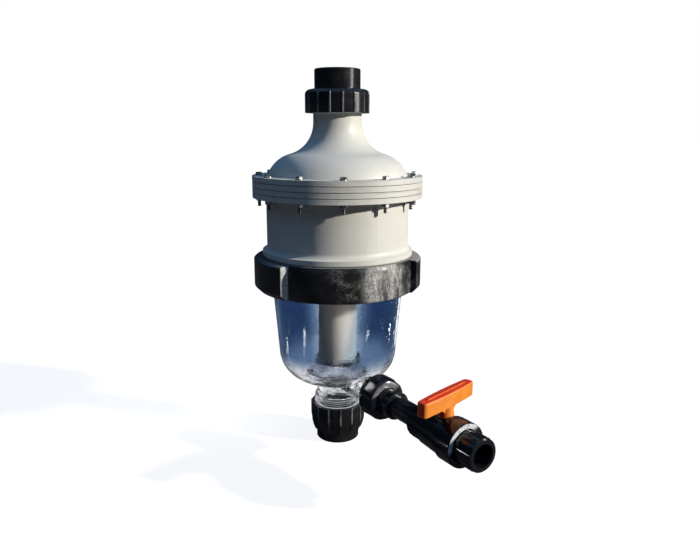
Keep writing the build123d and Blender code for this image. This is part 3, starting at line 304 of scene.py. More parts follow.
def lock_ring():
    """Lock ring in one mesh, whose grips have a steep and a sloping end."""
    grips = [(centre - GRIP_ANGLE / 2, centre + GRIP_ANGLE / 2) for centre in GRIP_CENTRE_ANGLES]
    weights = {}
    for low, high in grips:
        for offset, weight in STEEP_END:
            weights[round(low + offset, 4) + weight * ORDER_SHIFT] = weight
        for offset, weight in SLOPING_END:
            weights[round(high - offset, 4) - weight * ORDER_SHIFT] = weight
    for step in range(PLAIN_STATIONS):
        angle = step * 360 / PLAIN_STATIONS
        if not any(
            STEEP_CLEAR[0] <= angle - low <= STEEP_CLEAR[1]
            or SLOPING_CLEAR[0] <= angle - high <= SLOPING_CLEAR[1]
            for low, high in grips
        ):
            weights[angle] = 1 if any(low < angle < high for low, high in grips) else 0
    plain, grip = ring_profile(False), ring_profile(True)
    stations = [
        (radians(angle), blend_profiles(plain, grip, weight))
        for angle, weight in sorted(weights.items())
    ]
    return turned("lock_ring_shell", on_main, stations)


ring = lock_ring()
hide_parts("lock_ring")
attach(ring, "lock_ring")

# Drain nut with softened panels: millimetres across a panel, from edge to edge
PANEL_ACROSS = (-7.75, -7.3, -6.0, -4.0, -2.0, 0.0, 2.0, 4.0, 6.0, 7.3, 7.75)
PANEL_EDGE = 7.5
PANEL_EDGE_DROP = 0.25
PANEL_EDGE_TURN = 0.012
LAND_SPACES = 4
COLLAR_WIDTH = 3.5
COLLAR_STEP = 0.4
SHOULDER_LENGTH = 8.0
SHOULDER_STEPS = 8
DRAIN_SHARP_ANGLE = 30


def drain_nut_profile(radius):
    """Profile of the drain nut, cut down to a radius in front of its collar."""
    spec = DRAIN_NUT
    depth = spec["radius"] - spec["face"]
    front = [
        (min(radius, spec["face"] + depth * c), spec["shoulder"] + SHOULDER_LENGTH * s)
        for c, s in quarter_turn(SHOULDER_STEPS)
    ]
    start_face = (spec["radius"] - NUT_FACE_WIDTH, spec["start"], 0)
    collar = rounded([
        start_face,
        (spec["radius"], spec["start"], 0.9),
        (spec["radius"], spec["start"] + COLLAR_WIDTH, 0),
    ])
    inside = rounded([
        (spec["face"], spec["end"], 0),
        (spec["lip"], spec["end"], 0.6),
        (spec["lip"], spec["lip_start"], 0),
        (spec["bore"], spec["lip_start"], 0),
        (spec["bore"], spec["start"], 0.6),
        start_face,
    ])
    step = (min(radius, spec["radius"]), spec["start"] + (COLLAR_WIDTH + COLLAR_STEP))
    return collar + [step] + front + inside[1:-1]


def drain_nut():
    """Union nut of the drain line in one mesh, with flat sunk panels."""
    land = drain_nut_profile(DRAIN_NUT["radius"])
    pitch = 2 * pi / DRAIN_PANELS
    stations = []
    for index in range(DRAIN_PANELS):
        panel = []
        for across in PANEL_ACROSS:
            radius = hypot(across, DRAIN_PANEL_RADIUS)
            if abs(across) > PANEL_EDGE:
                radius = DRAIN_NUT["radius"] - PANEL_EDGE_DROP
            angle = pitch * index + atan2(across, DRAIN_PANEL_RADIUS)
            panel.append((angle, drain_nut_profile(radius)))
        first, last = panel[0][0] - PANEL_EDGE_TURN, panel[-1][0] + PANEL_EDGE_TURN
        spare = pitch - (last - first)
        stations += [(first, land)] + panel + [(last, land)]
        stations += [(last + spare * step / LAND_SPACES, land) for step in range(1, LAND_SPACES)]
    return turned("drain_union_nut_shell", on_drain, stations, DRAIN_SHARP_ANGLE)


drain_shell = drain_nut()
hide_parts("drain_union_nut")
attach(drain_shell, "drain_nut")

# Clear foot of the bowl's inner socket, and the threads seen through its clear neck
CLEAR_STEPS = 96
FOOT_STEPS = 14
NECK_THREAD = dict(inner=36.05, outer=40.6, depth=1.1, start=66.6, pitch=3.6, count=4)
SLEEVE_BELOW = 1.0
SLEEVE_ABOVE = 0.6


def foot_profile():
    """Concave sweep from the socket's side out over the rounded floor of the bowl."""
    side, inner, outer, low_level, top_level = 38.9, 39.5, 55.6, 118.6, 149.0
    floor_line = [(side, 117.15), (46.0, 117.15), (51.0, 117.5), (outer, 118.15)]
    curve = [
        (outer - (outer - inner) * s, top_level - (top_level - low_level) * c)
        for c, s in quarter_turn(FOOT_STEPS)
    ]
    return floor_line + curve + [(side, top_level)]


def thread_profile(inner, outer, depth, start, pitch, count):
    """Rounded thread ridges on a thin sleeve."""
    root = outer - depth
    ridge = [(root, 0.0), (outer, 0.3 * pitch), (outer, 0.5 * pitch), (root, 0.8 * pitch)]
    points = [(inner, start - SLEEVE_BELOW), (root, start - SLEEVE_BELOW)]
    for index in range(count):
        points += [(radius, start + index * pitch + rise) for radius, rise in ridge]
    top = start + count * pitch + SLEEVE_ABOVE
    return points + [(root, top), (inner, top)]


bowl_foot = turned("bowl_foot_sweep", on_main, all_round(foot_profile(), CLEAR_STEPS))
neck_collar = turned(
    "neck_thread_collar", on_main, all_round(thread_profile(**NECK_THREAD), CLEAR_STEPS)
)
for piece in (bowl_foot, neck_collar):
    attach(piece, "filter_body")

# Bolts, nuts and washers with chamfered and rounded edges
HEX_STEPS = 36
HEX_CHAMFER = 0.6
HEX_RIM_SHARE = 0.97
HEX_CHAMFER_SHARE = 0.18
HEX_EDGE_DROP = 0.05
HEX_FOOT_INSET = 0.02
SHANK_STEPS = 16
SHANK_START = 421.8
SHANK_PITCH = 1.0
THREAD_CREST = 2.95
THREAD_ROOT = 2.5
SHANK_TIP = 2.3
SHANK_PLAIN = 1.4
SHANK_CHAMFER = 0.7
WASHER_STEPS = 32
WASHER_RADIUS = 6.0
WASHER_BORE = 3.1
BOLT_SHARP_ANGLE = 25


def hexagon(levels, both):
    """Stations of a hexagonal block, solid to its axis, chamfered on top or at both ends."""
    bottom, top = levels
    half = HEX_FLATS / 2
    stations = []
    for step in range(HEX_STEPS):
        angle = 2 * pi * step / HEX_STEPS
        side = (angle + pi / 6) % (pi / 3) - pi / 6
        radius = half / cos(side)
        rim = min(radius, half * HEX_RIM_SHARE)
        drop = HEX_CHAMFER * (radius - rim) / (half * HEX_CHAMFER_SHARE) + HEX_EDGE_DROP
        if both:
            low = [(rim, bottom), (radius, bottom + drop)]
        else:
            low = [(radius - HEX_FOOT_INSET, bottom), (radius, bottom + HEX_EDGE_DROP)]
        upper = [(radius, top - drop), (rim, top), (0.0, top)]
        stations.append((angle, [(0.0, bottom)] + low + upper))
    return stations


def shank():
    """Stations of a bolt's threaded end below its nut."""
    profile = [(0.0, SHANK_START), (THREAD_CREST, SHANK_START)]
    level = SHANK_START - SHANK_PITCH / 2
    while level > BOLT_END + SHANK_PLAIN:
        profile += [(THREAD_CREST, level), (THREAD_ROOT, level - SHANK_PITCH / 2)]
        level -= SHANK_PITCH
    profile += [
        (THREAD_CREST, level),
        (THREAD_CREST, BOLT_END + SHANK_CHAMFER),
        (SHANK_TIP, BOLT_END),
        (0.0, BOLT_END),
    ]
    return all_round(profile, SHANK_STEPS)


def washer(level):
    """Stations of a washer with rounded edges."""
    top = level + WASHER_HEIGHT
    corners = [
        (WASHER_BORE, level, 0),
        (WASHER_RADIUS, level, 0.35),
        (WASHER_RADIUS, top, 0.45),
        (WASHER_BORE, top, 0),
    ]
    return all_round(rounded(corners, 2), WASHER_STEPS)


def bolt_set(name, blocks, node_name):
    """One mesh with the same blocks at every bolt."""
    vertices, faces = [], []
    for index in range(BOLT_COUNT):
        centre = radians(BOLT_START_ANGLE) + index * (2 * pi / BOLT_COUNT)
        x, y = BOLT_CIRCLE * cos(centre), BOLT_CIRCLE * sin(centre)
        for stations in blocks:
            faces += loop_faces(len(vertices), len(stations), len(stations[0][1]))
            for angle, profile in stations:
                across, along = cos(angle + centre), sin(angle + centre)
                vertices += [(x + r * across, y + r * along, z) for r, z in profile]
    made = finish_mesh(name, vertices, faces, BOLT_SHARP_ANGLE)
    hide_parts(node_name)
    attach(made, "filter_body")
    return made


fasteners = [
    bolt_set("flange_bolt_set", [hexagon(HEAD_LEVELS, False), shank()], "flange_bolts"),
    bolt_set("flange_nut_set", [hexagon(NUT_LEVELS, True)], "flange_nuts"),
    bolt_set("flange_washer_set", [washer(level) for level in WASHER_LEVELS], "flange_washers"),
]


# Node trees
def node(tree, kind, inputs=None, **settings):
    """Shader node with its inputs set or linked."""
    made = tree.nodes.new(kind)
    for key, value in settings.items():
        setattr(made, key, value)
    for key, value in (inputs or {}).items():
        socket = made.inputs[key]
        if isinstance(value, bpy.types.NodeSocket):
            tree.links.new(value, socket)
        else:
            socket.default_value = value
    return made


def noise(tree, where, scale, detail=4.0, rough=0.55, stretch=(1, 1, 1)):
    """Noise value at a scale per metre, stretched along the axes."""
    mapping = node(tree, "ShaderNodeMapping", {"Vector": where, "Scale": stretch})
    made = node(
        tree,
        "ShaderNodeTexNoise",
        {"Vector": mapping.outputs[0], "Scale": scale, "Detail": detail, "Roughness": rough},
    )
    return made.outputs["Fac"]


def ramp(tree, value, low, high, out_low=0.0, out_high=1.0):
    """Smooth step of a value between two levels."""
    made = node(
        tree,
        "ShaderNodeMapRange",
        {"Value": value, "From Min": low, "From Max": high, "To Min": out_low, "To Max": out_high},
        interpolation_type="SMOOTHSTEP",
    )
    return made.outputs[0]


def maths(tree, operation, first, second=0.0):
    """Result of one operation on two values."""
    return node(tree, "ShaderNodeMath", {0: first, 1: second}, operation=operation).outputs[0]


def product(tree, first, *others):
    """Product of two or more values."""
    for other in others:
        first = maths(tree, "MULTIPLY", first, other)
    return first


def total(tree, first, *others):
    """Sum of two or more values."""
    for other in others:
        first = maths(tree, "ADD", first, other)
    return first


def largest(tree, first, *others):
    """Largest of two or more values."""
    for other in others:
        first = maths(tree, "MAXIMUM", first, other)
    return first


def mix(tree, factor, first, second):
    """Colour between two colours."""
    made = tree.nodes.new("ShaderNodeMix")
    made.data_type = "RGBA"
    for index, value in ((0, factor), (6, first), (7, second)):
        if isinstance(value, bpy.types.NodeSocket):
            tree.links.new(value, made.inputs[index])
        else:
            made.inputs[index].default_value = value if index == 0 else (*value, 1)
    return made.outputs[2]


def split(tree, vector):
    """X, Y and Z outputs of a vector."""
    return node(tree, "ShaderNodeSeparateXYZ", {"Vector": vector}).outputs


def coordinates(tree, kind):
    """One of the texture coordinates: the object's own place or normal, or the world's."""
    return node(tree, "ShaderNodeTexCoord").outputs[kind]


def bump(tree, height, strength, distance):
    """Normal from a height, with its distance in metres."""
    inputs = {"Height": height, "Strength": strength, "Distance": distance}
    return node(tree, "ShaderNodeBump", inputs).outputs[0]


def principled(tree, **inputs):
    """Principled shader, its inputs named with underscores for spaces."""
    named = {name.replace("_", " "): value for name, value in inputs.items()}
    return node(tree, "ShaderNodeBsdfPrincipled", named)


def new_material(name):
    """Material with an empty tree, and the object's own coordinates in it."""
    made = bpy.data.materials.new(name)
    made.use_nodes = True
    tree = made.node_tree
    tree.nodes.clear()
    return made, tree, coordinates(tree, "Object")


def close_material(made, shader):
    """Material with the shader linked to its output."""
    tree = made.node_tree
    output = node(tree, "ShaderNodeOutputMaterial")
    tree.links.new(shader.outputs[0], output.inputs["Surface"])
    return made


def background_rays(tree):
    """1 for rays that show the white background, 0 for those that gather light for a surface."""
    path = node(tree, "ShaderNodeLightPath").outputs
    straight = maths(tree, "LESS_THAN", path["Diffuse Depth"], 0.5)
    through = product(tree, path["Is Transmission Ray"], straight)
    return largest(tree, path["Is Camera Ray"], through)


# Materials: levels and depths in metres
FLANGE_FOOT = (0.425, 0.429)
FLANGE_HEAD = (0.462, 0.465)
RIB_CREST_DEPTH = (0.0010, 0.0001)
END_FACE_DEPTH = (0.0006, 0.0002)
# Towards the ring's dusty side, where its painted sheen lies too, as a cosine and a sine
DUST_AND_SHEEN_SIDE = (0.9976, 0.0698)


def grey_housing(name, gloss, dark, light):
    """Light warm grey moulded plastic with faint grain, streaks, specks and grimy flanges."""
    made, tree, where = new_material(name)
    broad = ramp(tree, noise(tree, where, 9, 3), 0.35, 0.7)
    streaks = ramp(tree, noise(tree, where, 40, 4, 0.6, (1, 1, 0.12)), 0.5, 0.8)
    specks = ramp(tree, noise(tree, where, 420, 2, 0.5), 0.66, 0.74)
    base = mix(tree, broad, dark, light)
    base = mix(tree, product(tree, streaks, 0.30), base, (0.50, 0.49, 0.44))
    base = mix(tree, product(tree, specks, 0.25), base, (0.34, 0.33, 0.30))
    level = split(tree, where)["Z"]
    above = ramp(tree, level, *FLANGE_FOOT)
    below = ramp(tree, level, *FLANGE_HEAD, 1.0, 0.0)
    grime = ramp(tree, noise(tree, where, 26, 6, 0.7, (0.5, 0.5, 8)), 0.48, 0.68)
    base = mix(tree, product(tree, above, below, grime, 0.5), base, (0.36, 0.34, 0.29))
    grain = noise(tree, where, 700, 3, 0.6)
    peel = noise(tree, where, 130, 2, 0.5)
    shader = principled(
        tree,
        Base_Color=base,
        Roughness=ramp(tree, noise(tree, where, 55, 4), 0.3, 0.75, 0.38, 0.56),
        Specular_IOR_Level=gloss,
        Normal=bump(tree, total(tree, product(tree, grain, 0.5), peel), 0.3, 0.0004),
    )
    return close_material(made, shader)


def black_plastic(name, gloss, dust, sheen_and_wear=None):
    """Black moulded plastic with fine scratches, a little dust, and a paler patch from its own
    function, with which the callers paint highlights and reflections.
    """
    made, tree, where = new_material(name)
    film = ramp(tree, noise(tree, where, 28, 5, 0.65), 0.5, 0.78)
    fine = ramp(tree, noise(tree, where, 900, 3, 0.7), 0.5, 0.8)
    scratch = ramp(tree, noise(tree, where, 60, 6, 0.7, (1, 1, 9)), 0.6, 0.72)
    cover = product(tree, total(tree, film, product(tree, fine, 0.4)), dust)
    base = mix(tree, cover, (0.009, 0.009, 0.011), (0.20, 0.20, 0.19))
    # The callers' pale patches are painted highlights and painted reflections.
    if sheen_and_wear:
        sheen_mask, colour = sheen_and_wear(tree, where)
        base = mix(tree, sheen_mask, base, colour)
    height = total(tree, noise(tree, where, 320, 3, 0.5), product(tree, scratch, 0.6))
    shader = principled(
        tree,
        Base_Color=base,
        Roughness=total(tree, gloss, product(tree, film, 0.12)),
        Specular_IOR_Level=0.5,
        Normal=bump(tree, height, 0.05, 0.0003),
    )
    return close_material(made, shader)


def rib_crest_highlights(radius):
    """Painted highlights along the crests of grip ribs round the main axis, mottled like rubbed wear.
    """
    rim = radius * MM

    def sheen_and_wear(tree, where):
        flat = node(
            tree, "ShaderNodeVectorMath", {0: where, 1: (1, 1, 0)}, operation="MULTIPLY"
        ).outputs[0]
        reach = node(tree, "ShaderNodeVectorMath", {0: flat}, operation="LENGTH").outputs["Value"]
        # Painted highlight: the paler crests stand for light glinting along the ribs.
        crest = ramp(tree, reach, *(rim - depth for depth in RIB_CREST_DEPTH))
        rubbed_wear_and_sheen = ramp(tree, noise(tree, where, 150, 4, 0.6, (1, 1, 0.3)), 0.30, 0.66, 0.05, 0.60)
        return product(tree, crest, rubbed_wear_and_sheen), (0.34, 0.34, 0.31)
    return sheen_and_wear


def end_face_sheen(face, facing_out, above, colour):
    """Pale patch on the upper side of a nut's end face on the drain line: a painted reflection,
    mottled like scuffing.
    """
    face_place = face * MM

    def sheen_and_wear(tree, where):
        normal = split(tree, coordinates(tree, "Normal"))
        spot = split(tree, where)
        outward = ramp(tree, normal["X"], facing_out, facing_out + 0.25)
        at_face = ramp(tree, spot["X"], *(face_place - depth for depth in END_FACE_DEPTH))
        up = maths(tree, "SUBTRACT", spot["Z"], DRAIN_HEIGHT * MM)
        side = maths(tree, "SUBTRACT", product(tree, up, 0.87), product(tree, spot["Y"], 0.5))
        # Painted reflection: only the end face's upper side gets the pale patch, where light catches
        # it.
        upper = ramp(tree, side, above - 0.004, above + 0.004)
        rubbed_wear_and_sheen = ramp(tree, noise(tree, where, 190, 5, 0.65), 0.30, 0.60, 0.55, 1.0)
        return product(tree, outward, at_face, upper, rubbed_wear_and_sheen), colour
    return sheen_and_wear


def ring_material():
    """Satin black ring, scuffed grey with dust on one side, with dust and painted sheen in a patch on
    its front, and one end of each grip dusty and painted paler as painted light.
    """
    made, tree, where = new_material("black_scuffed_plastic")
    spot = split(tree, where)
    normal = split(tree, coordinates(tree, "Normal"))
    dust_and_sheen_x, dust_and_sheen_y = (share / (RING_RADIUS * MM) for share in DUST_AND_SHEEN_SIDE)
    side = total(tree, product(tree, spot["X"], dust_and_sheen_x), product(tree, spot["Y"], dust_and_sheen_y))
    patches = ramp(tree, noise(tree, where, 34, 7, 0.72), 0.46, 0.66)
    fine = ramp(tree, noise(tree, where, 380, 5, 0.7), 0.40, 0.62)
    rubbed_wear_and_sheen = ramp(tree, noise(tree, where, 60, 6, 0.7, (1, 1, 0.35)), 0.38, 0.60)
    broad_dust = product(tree, patches, fine, ramp(tree, side, 0.62, 0.96), 0.55)
    # Dust and painted sheen: a bright vertical patch towards the dusty side.
    front_dust_and_sheen = product(
        tree, rubbed_wear_and_sheen, ramp(tree, fine, 0.0, 1.0, 0.35, 1.0), ramp(tree, side, 0.93, 0.99)
    )
    along = maths(
        tree,
        "SUBTRACT",
        product(tree, spot["X"], normal["Y"]),
        product(tree, spot["Y"], normal["X"]),
    )
    blotch = ramp(tree, noise(tree, where, 240, 5, 0.7), 0.3, 0.7, 0.62, 1.0)
    # Dust and painted light: grip end faces that face one way round are dusty and paler, as if lit.
    grip_end_dust_and_light = product(tree, ramp(tree, along, 0.022, 0.060), blotch)
    up = ramp(tree, normal["Z"], 0.45, 0.8)
    rim = product(tree, up, ramp(tree, side, -0.6, 0.5), blotch, 0.6)
    # The dust mask also carries the painted sheen and the painted light on the grip ends.
    dust = largest(tree, broad_dust, front_dust_and_sheen, grip_end_dust_and_light, rim)
    haze = product(tree, ramp(tree, noise(tree, where, 22, 5, 0.6), 0.4, 0.75), 0.05)
    cover = maths(tree, "MINIMUM", total(tree, product(tree, dust, 0.9), haze), 1.0)
    # The paler colour at the grip ends is painted light.
    dust_colour_lit_ends = mix(tree, grip_end_dust_and_light, (0.56, 0.55, 0.52), (0.85, 0.83, 0.79))
    height = total(tree, noise(tree, where, 260, 4, 0.6), product(tree, dust, 0.5))
    shader = principled(
        tree,
        Base_Color=mix(tree, cover, (0.005, 0.005, 0.006), dust_colour_lit_ends),
        Roughness=ramp(tree, cover, 0.0, 0.6, 0.36, 0.8),
        Specular_IOR_Level=0.4,
        Normal=bump(tree, height, 0.25, 0.0005),
    )
    return close_material(made, shader)


def clear_plastic(name, unevenness):
    """Clear moulded plastic, tinted deep blue seen edge on in its upper part as a painted reflection
    of blue sky, with fine ripples and a trace of haze.
    """
    made, tree, where = new_material(name)
    ripple = noise(tree, where, 24, 2, 0.4)
    level = split(tree, where)["Z"]
    upper = ramp(tree, total(tree, level, product(tree, ripple, 0.04)), 0.140, 0.195)
    # Painted reflection: the deep blue seen edge on stands for blue sky reflected in the bowl.
    edge_on = node(tree, "ShaderNodeLayerWeight", {"Blend": 0.5}).outputs["Facing"]
    edge_tint_painted_sky = product(tree, upper, ramp(tree, edge_on, 0.045, 0.11))
    swirl = product(
        tree, noise(tree, where, 34, 3, 0.5, (1, 1, 3)), ramp(tree, level, 0.150, 0.215, 1.0, 0.12)
    )
    drops = ramp(tree, noise(tree, where, 150, 3, 0.6), 0.58, 0.74, 0.0, 0.16)
    relief = total(tree, product(tree, ripple, 0.5), swirl, drops)
    glass = principled(
        tree,
        Base_Color=mix(tree, edge_tint_painted_sky, (0.93, 0.935, 0.945), (0.10, 0.175, 0.30)),
        Roughness=ramp(tree, noise(tree, where, 60, 5, 0.65), 0.5, 0.85, 0.0, 0.03),
        IOR=1.35,
        Transmission_Weight=1.0,
        Normal=bump(tree, relief, unevenness, 0.0035),
    )
    passed = node(tree, "ShaderNodeBsdfTransparent", {"Color": (0.93, 0.94, 0.95, 1)})
    lamps = node(tree, "ShaderNodeLightPath").outputs["Is Shadow Ray"]
    shader = node(
        tree, "ShaderNodeMixShader", {0: lamps, 1: glass.outputs[0], 2: passed.outputs[0]}
    )
    return close_material(made, shader)


def steel():
    """Plated steel, a little dull and stained."""
    made, tree, where = new_material("plated_steel")
    stain = ramp(tree, noise(tree, where, 160, 5, 0.65), 0.45, 0.75)
    shader = principled(
        tree,
        Base_Color=mix(tree, stain, (0.42, 0.42, 0.41), (0.13, 0.125, 0.115)),
        Metallic=1.0,
        Roughness=ramp(tree, stain, 0.0, 1.0, 0.24, 0.5),
        Normal=bump(tree, noise(tree, where, 900, 3), 0.2, 0.0002),
    )
    return close_material(made, shader)


def plain_polymer(name, dark, light, rough):
    """Rubber, gasket sheet or seat plastic with soft mottling."""
    made, tree, where = new_material(name)
    shader = principled(
        tree,
        Base_Color=mix(tree, noise(tree, where, 120, 4), dark, light),
        Roughness=ramp(tree, noise(tree, where, 80, 4), 0.3, 0.7, rough, rough + 0.15),
        Normal=bump(tree, noise(tree, where, 600, 3), 0.25, 0.0002),
    )
    return close_material(made, shader)


def orange_handle():
    """Orange moulded plastic, redder on top and at the tips and painted yellower on its flanks as
    painted sunlight, with faint flow and handling marks.
    """
    made, tree, where = new_material("orange_moulded_plastic")
    flow = ramp(tree, noise(tree, where, 45, 4, 0.6, (1, 1, 2)), 0.35, 0.7)
    marks = ramp(tree, noise(tree, where, 230, 5, 0.7), 0.62, 0.74)
    normal = coordinates(tree, "Normal")
    sideways = node(
        tree, "ShaderNodeVectorMath", {0: normal, 1: HANDLE_SIDE}, operation="DOT_PRODUCT"
    ).outputs["Value"]
    # Painted light: the flanks are yellower, as if sunlit.
    flank_light_mask = ramp(tree, maths(tree, "ABSOLUTE", sideways), 0.35, 0.85)
    red = mix(tree, flow, (0.80, 0.048, 0.016), (0.86, 0.062, 0.018))
    lit_flank_orange = mix(tree, flow, (0.69, 0.205, 0.024), (0.74, 0.245, 0.030))
    base = mix(tree, flank_light_mask, red, lit_flank_orange)
    shader = principled(
        tree,
        Base_Color=mix(tree, product(tree, marks, 0.12), base, (0.60, 0.09, 0.03)),
        Roughness=ramp(tree, noise(tree, where, 90, 4), 0.3, 0.75, 0.28, 0.42),
        Specular_IOR_Level=0.3,
        Normal=bump(tree, noise(tree, where, 420, 3), 0.06, 0.0002),
    )
    return close_material(made, shader)


# End faces with a painted reflection: place along the drain line, in millimetres
VALVE_NUT_FACE = 332.0
DRAIN_NUT_FACE = 148.9

housing = grey_housing("grey_moulded_plastic", 0.3, (0.590, 0.580, 0.525), (0.645, 0.636, 0.582))
inner_grey = grey_housing("grey_matt_plastic", 0.0, (0.64, 0.57, 0.47), (0.69, 0.61, 0.51))
fitting = black_plastic("black_fitting_plastic", 0.20, 0.05)
# Paler rib crests on the union nuts are painted highlights.
inlet_black = black_plastic("black_inlet_plastic", 0.20, 0.14, rib_crest_highlights(INLET_NUT["radius"]))
outlet_black = black_plastic("black_outlet_plastic", 0.18, 0.04, rib_crest_highlights(OUTLET_NUT["radius"]))
valve_nut_black = black_plastic(
    "black_valve_nut_plastic", 0.12, 0.02, end_face_sheen(VALVE_NUT_FACE, 0.7, 0.011, (0.66, 0.68, 0.70))
)
valve_black = black_plastic("black_valve_plastic", 0.09, 0.02)
drain_black = black_plastic(
    "black_drain_plastic", 0.16, 0.03, end_face_sheen(DRAIN_NUT_FACE, 0.8, 0.006, (0.20, 0.20, 0.20))
)
worn_ring = ring_material()
clear_wall = clear_plastic("clear_moulded_plastic", 0.45)
clear_inner = clear_plastic("clear_inner_plastic", 0.06)
fastener = steel()
gasket = plain_polymer("gasket_sheet", (0.17, 0.17, 0.16), (0.24, 0.24, 0.22), 0.6)
rubber = plain_polymer("seal_rubber", (0.010, 0.010, 0.010), (0.022, 0.022, 0.022), 0.6)
seat = plain_polymer("seat_plastic", (0.72, 0.72, 0.70), (0.80, 0.80, 0.78), 0.35)
orange = orange_handle()

# Materials of the nodes: those not named are rubber seals, or hidden under a piece of the scene
MATERIALS = {
    "outlet_dome": housing,
    "vortex_plate": housing,
    "cyclone_pack": housing,
    "body_housing": housing,
    "riser_tube": inner_grey,
    "outlet_union_tail": fitting,
    "inlet_union_tail": fitting,
    "drain_union_tail": fitting,
    "drain_union_nut": fitting,
    "drain_nipple": fitting,
    "valve_body": valve_black,
    "valve_end": valve_black,
    "valve_union_nut": valve_nut_black,
    "valve_ball": valve_black,
    "valve_stem": valve_black,
    "valve_handle": orange,
    "sediment_bowl": clear_wall,
    "flange_bolts": fastener,
    "flange_nuts": fastener,
    "flange_washers": fastener,
    "body_gasket": gasket,
    "pack_gasket": gasket,
    "dome_gasket": gasket,
    "inner_seat": seat,
    "outer_seat": seat,
}


def dress(piece, material):
    """Give a piece one material."""
    piece.data.materials.clear()
    piece.data.materials.append(material)


for node_name, carried in nodes.items():
    dress(carried, MATERIALS.get(node_name, rubber))
dress(inlet_nut, inlet_black)
dress(outlet_nut, outlet_black)
dress(ring, worn_ring)
dress(drain_shell, drain_black)
for piece in (bowl_foot, neck_collar):
    dress(piece, clear_inner)
for piece in fasteners:
    dress(piece, fastener)


# Floor
FLOOR_HALF = 30.0


def floor_material():
    """Pale floor that keeps the shadow and runs out to white."""
    made, tree, _ = new_material("pale_floor")
    soft = node(tree, "ShaderNodeBsdfDiffuse", {"Color": (0.085, 0.085, 0.09, 1)})
    shade = node(tree, "ShaderNodeBsdfDiffuse", {"Color": (0.24, 0.24, 0.24, 1)})
    glow = node(tree, "ShaderNodeEmission", {"Color": (1, 1, 1, 1), "Strength": 0.88})
    both = node(tree, "ShaderNodeAddShader", {0: shade.outputs[0], 1: glow.outputs[0]})
    choice = node(
        tree,
        "ShaderNodeMixShader",
        {0: background_rays(tree), 1: soft.outputs[0], 2: both.outputs[0]},
    )
    return close_material(made, choice)


floor_mesh = bpy.data.meshes.new("floor")
floor_mesh.from_pydata(
    [(x * FLOOR_HALF, y * FLOOR_HALF, 0.0) for x, y in ((-1, -1), (1, -1), (1, 1), (-1, 1))],
    [],
    [(0, 1, 2, 3)],
)
floor = bpy.data.objects.new("floor", floor_mesh)
scene.collection.objects.link(floor)
floor_mesh.materials.append(floor_material())

# World: dim blue light from above, and a background from white up to blue
AMBIENT_LOW, AMBIENT_HIGH = (0.015, 0.027, 0.041), (0.16, 0.31, 0.58)
PLAIN_LOW, PLAIN_HIGH = (1.0, 1.0, 1.0), (0.20, 0.31, 0.52)
world = bpy.data.worlds.new("studio")
scene.world = world
world.use_nodes = True
sky = world.node_tree
sky.nodes.clear()
climb = split(sky, coordinates(sky, "Generated"))["Z"]
ambient_colour = mix(sky, ramp(sky, climb, 0.35, 0.90), AMBIENT_LOW, AMBIENT_HIGH)
plain_colour = mix(sky, ramp(sky, climb, 0.22, 0.62), PLAIN_LOW, PLAIN_HIGH)
ambient = node(sky, "ShaderNodeBackground", {"Color": ambient_colour, "Strength": 1.0})
plain = node(sky, "ShaderNodeBackground", {"Color": plain_colour, "Strength": 1.0})
joined = node(
    sky,
    "ShaderNodeMixShader",
    {0: background_rays(sky), 1: ambient.outputs[0], 2: plain.outputs[0]},
)
world_output = node(sky, "ShaderNodeOutputWorld")
sky.links.new(joined.outputs[0], world_output.inputs["Surface"])

# Lamps: directions in degrees round and above the object, most of them counted from the camera
CAMERA_ANGLE = -31.5
SUN = dict(angle=CAMERA_ANGLE + 72.0, height=22.0, strength=5.0, size=2.0)
SUN_COLOUR = (1.0, 0.955, 0.88)
# Small bright spots on the bowl: (angle from the camera, level in metres, watts)
GLINTS = (
    (-58.0, 0.055, 0.06),
    (-102.0, 0.040, 0.04),
    (50.0, 0.060, 0.03),
    (104.0, 0.075, 0.04),
)
GLINT_DISTANCE = 0.42
GLINT_SIZE = (0.03, 0.02)


def direction(angle, height):
    """Unit vector towards an angle round the object and a height, in degrees."""
    return Vector((
        cos(radians(height)) * cos(radians(angle)),
        cos(radians(height)) * sin(radians(angle)),
        sin(radians(height)),
    ))


def add_lamp(name, lamp, towards):
    """Object of a lamp that shines from a direction."""
    made = bpy.data.objects.new(name, lamp)
    scene.collection.objects.link(made)
    made.rotation_mode = "QUATERNION"
    made.rotation_quaternion = towards.to_track_quat("Z", "Y")
    return made


def sun(name, angle, height, strength, size, colour):
    """Distant lamp."""
    lamp = bpy.data.lights.new(name, "SUN")
    lamp.energy = strength
    lamp.color = colour
    lamp.angle = radians(size)
    add_lamp(name, lamp, direction(angle, height))


def strip_light(name, angle, height, distance, aim, size, watts):
    """Soft box seen only in glossy surfaces, at a distance from the point it aims at."""
    lamp = bpy.data.lights.new(name, "AREA")
    lamp.shape = "RECTANGLE"
    lamp.size, lamp.size_y = size
    lamp.energy = watts
    towards = direction(angle, height)
    made = add_lamp(name, lamp, towards)
    made.location = Vector(aim) + towards * distance
    made.visible_camera = False
    made.visible_diffuse = False
    made.visible_transmission = False


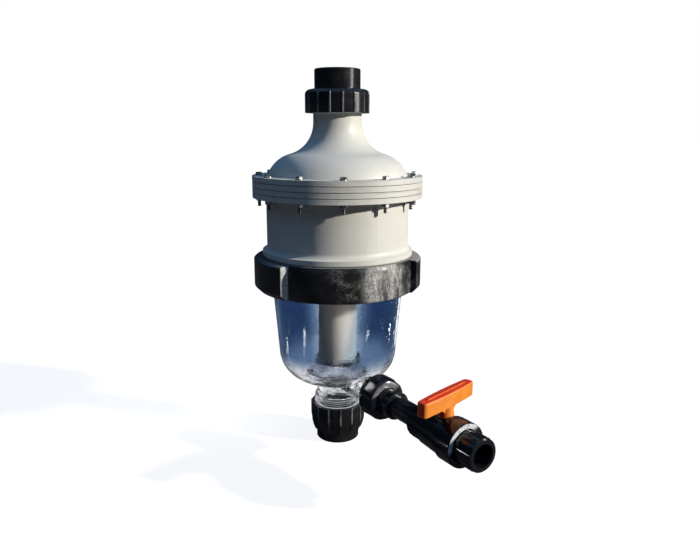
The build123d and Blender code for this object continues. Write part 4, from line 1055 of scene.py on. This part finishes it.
sun("key", colour=SUN_COLOUR, **SUN)
strip_light("side_strip", CAMERA_ANGLE + 76.0, 0.0, 1.1, (0, 0, 0.55), (0.20, 1.1), 6.0)
strip_light("rim_strip", CAMERA_ANGLE + 138.0, 0.0, 0.42, (0, 0, 0.09), (0.10, 0.12), 0.10)
for index, (aside, level, watts) in enumerate(GLINTS):
    strip_light(
        f"glint_strip_{index}", CAMERA_ANGLE + aside, 0.0, GLINT_DISTANCE, (0, 0, level),
        GLINT_SIZE, watts,
    )
strip_light("panel_strip", 206.0, 31.6, 0.044, (0.1310, -0.0225, 0.1410), (0.010, 0.015), 0.0035)

# Camera at the photograph's viewing angle
CAMERA_DISTANCE = 1.093306
CAMERA_HEIGHT = 0.48760752 * CAMERA_DISTANCE
CAMERA_PITCH = 0.22332628
CAMERA_YAW = 0.01940672
CAMERA_ROLL = 0.00332590
FOCAL_PIXELS = 654.6966
FRAME_WIDTH = 700.0
SENSOR_WIDTH = 36.0
upright = Vector((0, 0, 1))
back = direction(CAMERA_ANGLE, 0.0)
right = Vector((-back.y, back.x, 0))
forward = (
    right * sin(CAMERA_YAW) * cos(CAMERA_PITCH)
    - back * cos(CAMERA_YAW) * cos(CAMERA_PITCH)
    - upright * sin(CAMERA_PITCH)
)
level_right = forward.cross(upright).normalized()
level_up = level_right.cross(forward)
camera_x = level_right * cos(CAMERA_ROLL) + level_up * sin(CAMERA_ROLL)
camera_y = level_up * cos(CAMERA_ROLL) - level_right * sin(CAMERA_ROLL)
lens = bpy.data.cameras.new("camera")
lens.sensor_width = SENSOR_WIDTH
lens.lens = FOCAL_PIXELS / FRAME_WIDTH * SENSOR_WIDTH
camera = bpy.data.objects.new("camera", lens)
scene.collection.objects.link(camera)
camera_place = Matrix.Translation(back * CAMERA_DISTANCE + upright * CAMERA_HEIGHT)
camera_turn = Matrix((camera_x, camera_y, -forward)).transposed().to_4x4()
camera.matrix_world = camera_place @ camera_turn
scene.camera = camera

scene.view_settings.view_transform = "Standard"
